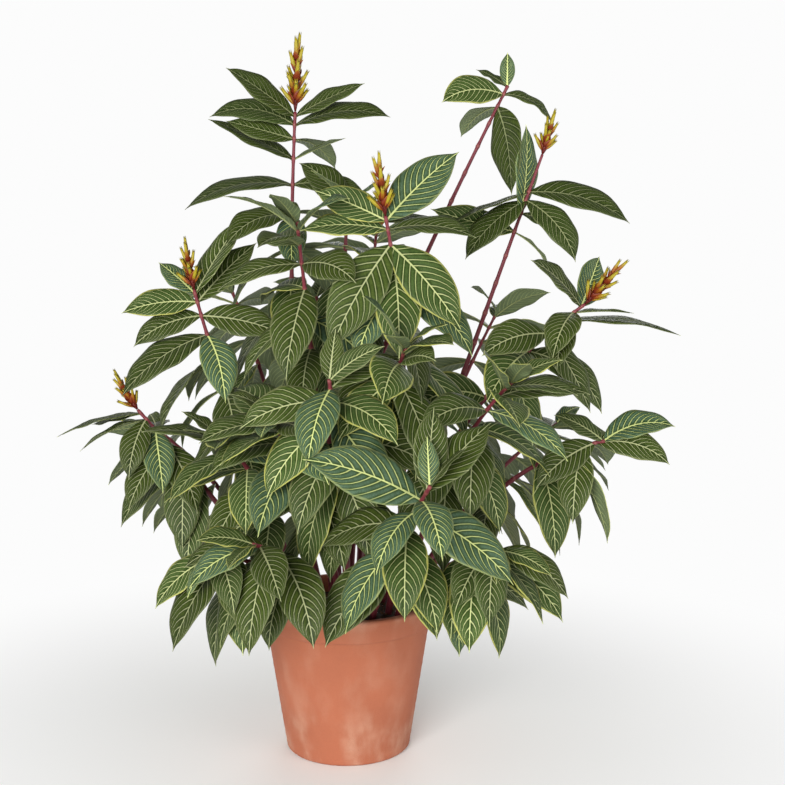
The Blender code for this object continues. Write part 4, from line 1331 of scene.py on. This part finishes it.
def add_spike(bm, shoot, settings, draw):
    """The spike's core with a bract and a tubular flower at each of its places."""
    foot, direction = spike_curve(shoot)
    u, v = across(direction)
    core_height = shoot.spike - CORE_SHORT * FLOWER_LENGTH
    centres, radii = [], []
    for i in range(CORE_ROWS + 1):
        share = i / CORE_ROWS
        centres.append(foot + direction * core_height * share)
        for (low, low_radius), (high, high_radius) in zip(SPIKE_CORE, SPIKE_CORE[1:]):
            if low <= share <= high:
                radius = low_radius + (high_radius - low_radius) * (share - low) / (high - low)
        radii.append(radius * CORE_SLIM)
    add_tube(bm, CORE_COLUMNS, CORE_ROWS, tube_along(centres, radii), "petal", 1)
    size = flower_size(shoot)
    last = 2 * (round(FLOWERS_PER_METRE * shoot.spike) - 1)
    for i in range(last + 1):
        share = i / last
        if share > SINGLE_ABOVE and i % 2:
            continue
        angle = (i // 2) * GOLDEN_ANGLE + (i % 2) * math.pi
        lean = math.radians(FLOWER_LEAN + (TOP_FLOWER_LEAN - FLOWER_LEAN) * share)
        radial = spoke(u, v, angle)
        ahead = spoke(direction, radial, lean)
        reach = FLOWER_LENGTH * size * (1.0 if i % 2 == 0 else SECOND_FLOWER)
        height = FLOWERS_FROM + FLOWERS_OVER * share**FLOWERS_CROWD
        root = foot + direction * core_height * height
        bent = root + ahead * reach * FLOWER_BEND
        turned_up = (ahead + direction * FLOWER_UPTURN).normalized()
        mouth = bent + turned_up * reach * FLOWER_MOUTH
        opening = 1 - FLOWER_CLOSING * share
        add_flower(bm, root, bent, mouth, size, opening, draw.random(), settings)
        lean = math.radians(BRACT_LEAN + BRACT_LEAN_SPREAD * draw.random())
        ahead = spoke(direction, radial, lean)
        reach = settings.bract_length * size * (1 - BRACT_SHRINK * share)
        add_bract(bm, root + radial * BRACT_STANDOFF, ahead, radial, reach, draw.random())


def turned(profile, steps):
    """A bmesh turned round Z from (radius, height) points that start and end on the axis."""
    bm = bmesh.new()
    verts = [bm.verts.new((radius, 0, height)) for radius, height in profile]
    edges = [bm.edges.new(pair) for pair in zip(verts, verts[1:])]
    bmesh.ops.spin(
        bm,
        geom=verts + edges,
        cent=(0, 0, 0),
        axis=(0, 0, 1),
        angle=2 * math.pi,
        steps=steps,
        use_merge=True,
    )
    bmesh.ops.remove_doubles(bm, verts=bm.verts, dist=0.00001)
    bmesh.ops.recalc_face_normals(bm, faces=bm.faces)
    return bm


def wall_points(low, high, radius_at, count, ripple):
    """Points up a wall, with fine rings."""
    points = []
    for i in range(count + 1):
        z = low + (high - low) * i / count
        fine, coarse = (math.sin(i * pitch) for pitch in RING_PITCHES)
        points.append((radius_at(z) + ripple * fine * coarse, z))
    return points


class SANCHEZIA_OT_pot(bpy.types.Operator):
    """Turn the clay pot and drill its drain holes"""

    bl_idname = "sanchezia.make_pot"
    bl_label = "Make the Pot"

    def execute(self, context):
        settings = context.scene.sanchezia_pot
        rim_foot = POT_HEIGHT - RIM_HEIGHT
        inner_top = inner_radius(POT_HEIGHT - POT_EDGE)
        lip = rim_foot + POT_EDGE * 0.5

        def rim_radius(z):
            start = wall_radius(rim_foot) + RIM_STEP * 0.7
            return start + (POT_TOP_RADIUS - start) * (z - lip) / (POT_HEIGHT - POT_EDGE - lip)

        profile = [(0, 0), (POT_BASE_RADIUS - POT_EDGE, 0)]
        profile += wall_points(POT_EDGE, rim_foot, wall_radius, WALL_RINGS, settings.ripple)
        rim_top, rim_ripple = POT_HEIGHT - POT_EDGE, settings.ripple * 0.5
        profile += wall_points(lip, rim_top, rim_radius, RIM_RINGS, rim_ripple)
        profile += [
            (POT_TOP_RADIUS - POT_EDGE, POT_HEIGHT),
            (inner_top + POT_EDGE, POT_HEIGHT),
            (inner_top, POT_HEIGHT - POT_EDGE),
            (inner_radius(POT_FLOOR), POT_FLOOR),
            (0, POT_FLOOR),
        ]
        bm = turned(profile, POT_ROUND)
        sharp = [edge for edge in bm.edges if edge.calc_face_angle(0.0) > SHARP]
        width = settings.rounding / 2
        bmesh.ops.bevel(
            bm, geom=sharp, offset=width, segments=2, profile=0.5, affect="EDGES", material=-1
        )
        for face in bm.faces:
            face.smooth = True
        pot = dressed("clay_pot", bm, [clay_material(settings)], ["pot"])
        pot.data.set_sharp_from_angle(angle=SMOOTH)
        drills = bmesh.new()
        for i in range(DRAIN_HOLES):
            turn = 2 * math.pi * (i + 0.5) / DRAIN_HOLES
            place = Vector((math.cos(turn), math.sin(turn), 0)) * DRAIN_RING_RADIUS
            size = {"radius1": DRAIN_RADIUS, "radius2": DRAIN_RADIUS, "depth": POT_FLOOR * 4}
            place = Matrix.Translation(place)
            bmesh.ops.create_cone(drills, cap_ends=True, segments=24, matrix=place, **size)
        drill = linked("drain_drills", mesh_from(drills, "drain_drills"))
        cut = pot.modifiers.new("Drain holes", "BOOLEAN")
        cut.object = drill
        cut.solver = "EXACT"
        graph = context.evaluated_depsgraph_get()
        pot.data = bpy.data.meshes.new_from_object(pot.evaluated_get(graph))
        pot.modifiers.clear()
        bpy.data.objects.remove(drill)
        return {"FINISHED"}


class SANCHEZIA_OT_soil(bpy.types.Operator):
    """Fill the pot with crumbly soil"""

    bl_idname = "sanchezia.make_soil"
    bl_label = "Make the Soil"

    def execute(self, context):
        settings = context.scene.sanchezia_pot
        edge = inner_radius(SOIL_LEVEL - SOIL_MOUND) - GAP
        profile = [(0, POT_FLOOR + GAP), (inner_radius(POT_FLOOR) - GAP, POT_FLOOR + GAP)]
        shares = [1 - i / SOIL_RINGS for i in range(SOIL_RINGS + 1)]
        profile += [(edge * out, mound_height(out)) for out in shares]
        bm = turned(profile, POT_ROUND)
        for face in bm.faces:
            face.smooth = True
        for vert in bm.verts:
            out = math.hypot(vert.co.x, vert.co.y) / edge
            if vert.co.z > SOIL_LEVEL - 2 * SOIL_MOUND and out < 0.99:
                bump = noise.fractal(vert.co * SOIL_BUMPS, *SOIL_NOISE)
                vert.co.z += settings.roughness * bump * min(1.0, 8 * (1 - out))
        draw = random.Random(7)
        for _ in range(settings.lumps):
            out = edge * LUMPS_WITHIN * math.sqrt(draw.random())
            angle = draw.uniform(0, 2 * math.pi)
            place = Vector((out * math.cos(angle), out * math.sin(angle), 0))
            place.z = mound_height(out / edge) + draw.uniform(*LUMPS_UP)
            grit = draw.random() < GRIT_SHARE
            size = draw.uniform(*(GRIT_SIZES if grit else CHIP_SIZES))
            made = bmesh.ops.create_icosphere(bm, subdivisions=1, radius=size)["verts"]
            turn = Euler([draw.uniform(0, 6.28) for _ in range(3)]).to_matrix()
            flat = Vector((1.0, *(draw.uniform(*span) for span in LUMP_FLATNESS)))
            for vert in made:
                vert.co = place + turn @ (vert.co * flat * draw.uniform(*LUMP_UNEVEN))
                for face in vert.link_faces:
                    face.material_index = 2 if grit else 1
        materials = [
            soil_material(settings),
            lump_material("bark_chips", settings.chip),
            lump_material("pale_grit", settings.grit),
        ]
        dressed("potting_soil", bm, materials, ["soil"])
        return {"FINISHED"}


def mound_height(out):
    """Height of the soil at a share of its radius."""
    if out > SOIL_SHOULDER:
        return SOIL_LEVEL - SOIL_MOUND * (out - SOIL_SHOULDER) / (1 - SOIL_SHOULDER)
    return SOIL_LEVEL + SOIL_MOUND * (1 - out / SOIL_SHOULDER)


class SANCHEZIA_OT_stems(bpy.types.Operator):
    """Grow the red stems"""

    bl_idname = "sanchezia.make_stems"
    bl_label = "Make the Stems"

    def execute(self, context):
        settings = context.scene.sanchezia_stems
        bark = bark_material(settings)
        for shoot in SHOOTS:
            bm = layered("bark", scar="float")
            add_bark(bm, shoot, settings)
            dressed("bark_" + shoot.name, bm, [bark], ["stem_" + shoot.name])
        return {"FINISHED"}


class SANCHEZIA_OT_leaves(bpy.types.Operator):
    """Grow the leaves on every stem"""

    bl_idname = "sanchezia.make_leaves"
    bl_label = "Make the Leaves"

    def execute(self, context):
        settings = context.scene.sanchezia_leaves
        template = blade_template(settings.vein_pairs)
        kinds = (leaf_material, underside_material, petiole_material)
        materials = [kind(settings) for kind in kinds]
        for name, leaves in lay_out_leaves().items():
            draw = random.Random("leaves of " + name)
            bm = layered("veins", look="float_color", rib_mm="float")
            paths = [leaf_path(leaf, BLADE_STEPS) for leaf in leaves]
            for leaf, frames in zip(leaves, paths):
                add_blade(bm, template, leaf, frames, settings, draw)
            for leaf, frames in zip(leaves, paths):
                add_rib(bm, leaf, frames, settings)
            dressed("leaves_" + name, bm, materials, ["stem_" + name])
        bpy.data.meshes.remove(template)
        return {"FINISHED"}


class SANCHEZIA_OT_flowers(bpy.types.Operator):
    """Grow the flower spikes"""

    bl_idname = "sanchezia.make_flowers"
    bl_label = "Make the Flowers"

    def execute(self, context):
        settings = context.scene.sanchezia_flowers
        materials = [
            petal_material(settings),
            bract_material(settings),
            lump_material("stamens", settings.crimson),
        ]
        for shoot in SHOOTS:
            if not shoot.spike:
                continue
            draw = random.Random("flowers of " + shoot.name)
            bm = layered("petal", tone="float")
            add_spike(bm, shoot, settings, draw)
            dressed("blooms_" + shoot.name, bm, materials, ["flowers_" + shoot.name])
        return {"FINISHED"}


# The point that the camera and the lights face, and where each light stands.
TARGET = Vector((0.10, 0.0, 0.80))
LIGHTS = {"key": (-1.3, -4.5, 1.6), "fill": (3.6, -2.8, 1.4), "back": (0.6, 4.2, 1.7)}
LIGHT_SIZE = 2.6
FLOOR_RADIUS = 40.0
# Heights in the sky, as shares of the way up, where its light starts and ends to fall.
SKY_FALL = (0.18, 0.80)


def floor_material(settings):
    """Pale and matt round the pot, and as bright as the sky further out."""
    paint = Paint("pale_floor", 0.9)
    paint.finish(tuple(settings.floor))
    away = paint.node("ShaderNodeVectorMath", {0: paint.place()}, operation="LENGTH")
    light = {"Color": tuple(settings.sky_colour), "Strength": settings.sky}
    glow = paint.node("ShaderNodeEmission", light)
    share = paint.smooth(0.10, 1.6, away.outputs["Value"])
    both = {0: share, 1: paint.surface.outputs[0], 2: glow.outputs[0]}
    surface = paint.node("ShaderNodeMixShader", both)
    paint.plug(paint.tree.nodes["Material Output"].inputs["Surface"], surface.outputs[0])
    return paint.material


def soft_sky(settings):
    """Even light from all round, weaker from overhead."""
    world = bpy.data.worlds.new("soft_sky")
    world.use_nodes = True
    nodes, links = world.node_tree.nodes, world.node_tree.links
    sky = nodes["Background"]
    sky.inputs["Color"].default_value = (*settings.sky_colour, 1.0)
    way = nodes.new("ShaderNodeTexCoord")
    split = nodes.new("ShaderNodeSeparateXYZ")
    fall = nodes.new("ShaderNodeMapRange")
    fall.interpolation_type = "SMOOTHSTEP"
    ends = (*SKY_FALL, settings.sky, settings.zenith)
    for name, value in zip(("From Min", "From Max", "To Min", "To Max"), ends):
        fall.inputs[name].default_value = value
    links.new(way.outputs["Generated"], split.inputs[0])
    links.new(split.outputs["Z"], fall.inputs["Value"])
    links.new(fall.outputs["Result"], sky.inputs["Strength"])
    return world


def add_area_light(name, place, power):
    data = bpy.data.lights.new(name, "AREA")
    data.shape = "SQUARE"
    data.size = LIGHT_SIZE
    data.energy = power
    light = linked(name, data)
    light.location = place
    light.rotation_euler = (TARGET - Vector(place)).to_track_quat("-Z", "Y").to_euler()


class SANCHEZIA_OT_stage(bpy.types.Operator):
    """Set the floor, the soft light and the camera"""

    bl_idname = "sanchezia.set_stage"
    bl_label = "Set the Stage"

    def execute(self, context):
        settings = context.scene.sanchezia_stage
        scene = context.scene
        bm = bmesh.new()
        bmesh.ops.create_circle(bm, cap_ends=True, segments=POT_ROUND, radius=FLOOR_RADIUS)
        floor = linked("floor", mesh_from(bm, "floor"))
        floor.data.materials.append(floor_material(settings))
        scene.world = soft_sky(settings)
        for name, place in LIGHTS.items():
            add_area_light(name, place, settings.key if name == "key" else settings.fill)

        data = bpy.data.cameras.new("camera")
        data.lens = settings.lens
        data.sensor_width = 36.0
        data.clip_end = 200.0
        camera = linked("camera", data)
        back = Vector((0.0, -math.cos(settings.elevation), math.sin(settings.elevation)))
        camera.location = TARGET + back * settings.distance
        camera.rotation_euler = (math.pi / 2 - settings.elevation, 0.0, 0.0)
        scene.camera = camera
        scene.view_settings.view_transform = "Standard"
        return {"FINISHED"}


OPERATORS = (
    SANCHEZIA_OT_pot,
    SANCHEZIA_OT_soil,
    SANCHEZIA_OT_stems,
    SANCHEZIA_OT_leaves,
    SANCHEZIA_OT_flowers,
    SANCHEZIA_OT_stage,
)


class SANCHEZIA_PT_panel(bpy.types.Panel):
    """Sizes, colours and steps of the potted sanchezia"""

    bl_idname = "SANCHEZIA_PT_panel"
    bl_label = "Potted Sanchezia"
    bl_space_type = "VIEW_3D"
    bl_region_type = "UI"
    bl_category = "Sanchezia"

    def draw(self, context):
        for operator in OPERATORS:
            self.layout.operator(operator.bl_idname)
        for group in SETTINGS:
            box = self.layout.box()
            settings = getattr(context.scene, group)
            for name in settings.bl_rna.properties.keys():
                if name not in ("rna_type", "name"):
                    box.prop(settings, name)


def register():
    for name, group in SETTINGS.items():
        bpy.utils.register_class(group)
        setattr(bpy.types.Scene, name, PointerProperty(type=group))
    for kind in (*OPERATORS, SANCHEZIA_PT_panel):
        bpy.utils.register_class(kind)


def unregister():
    for kind in reversed((*OPERATORS, SANCHEZIA_PT_panel)):
        bpy.utils.unregister_class(kind)
    for name, group in SETTINGS.items():
        delattr(bpy.types.Scene, name)
        bpy.utils.unregister_class(group)


def main():
    register()
    bpy.ops.sanchezia.make_pot()
    bpy.ops.sanchezia.make_soil()
    bpy.ops.sanchezia.make_stems()
    bpy.ops.sanchezia.make_leaves()
    bpy.ops.sanchezia.make_flowers()
    bpy.ops.sanchezia.set_stage()


if __name__ == "__main__":
    main()
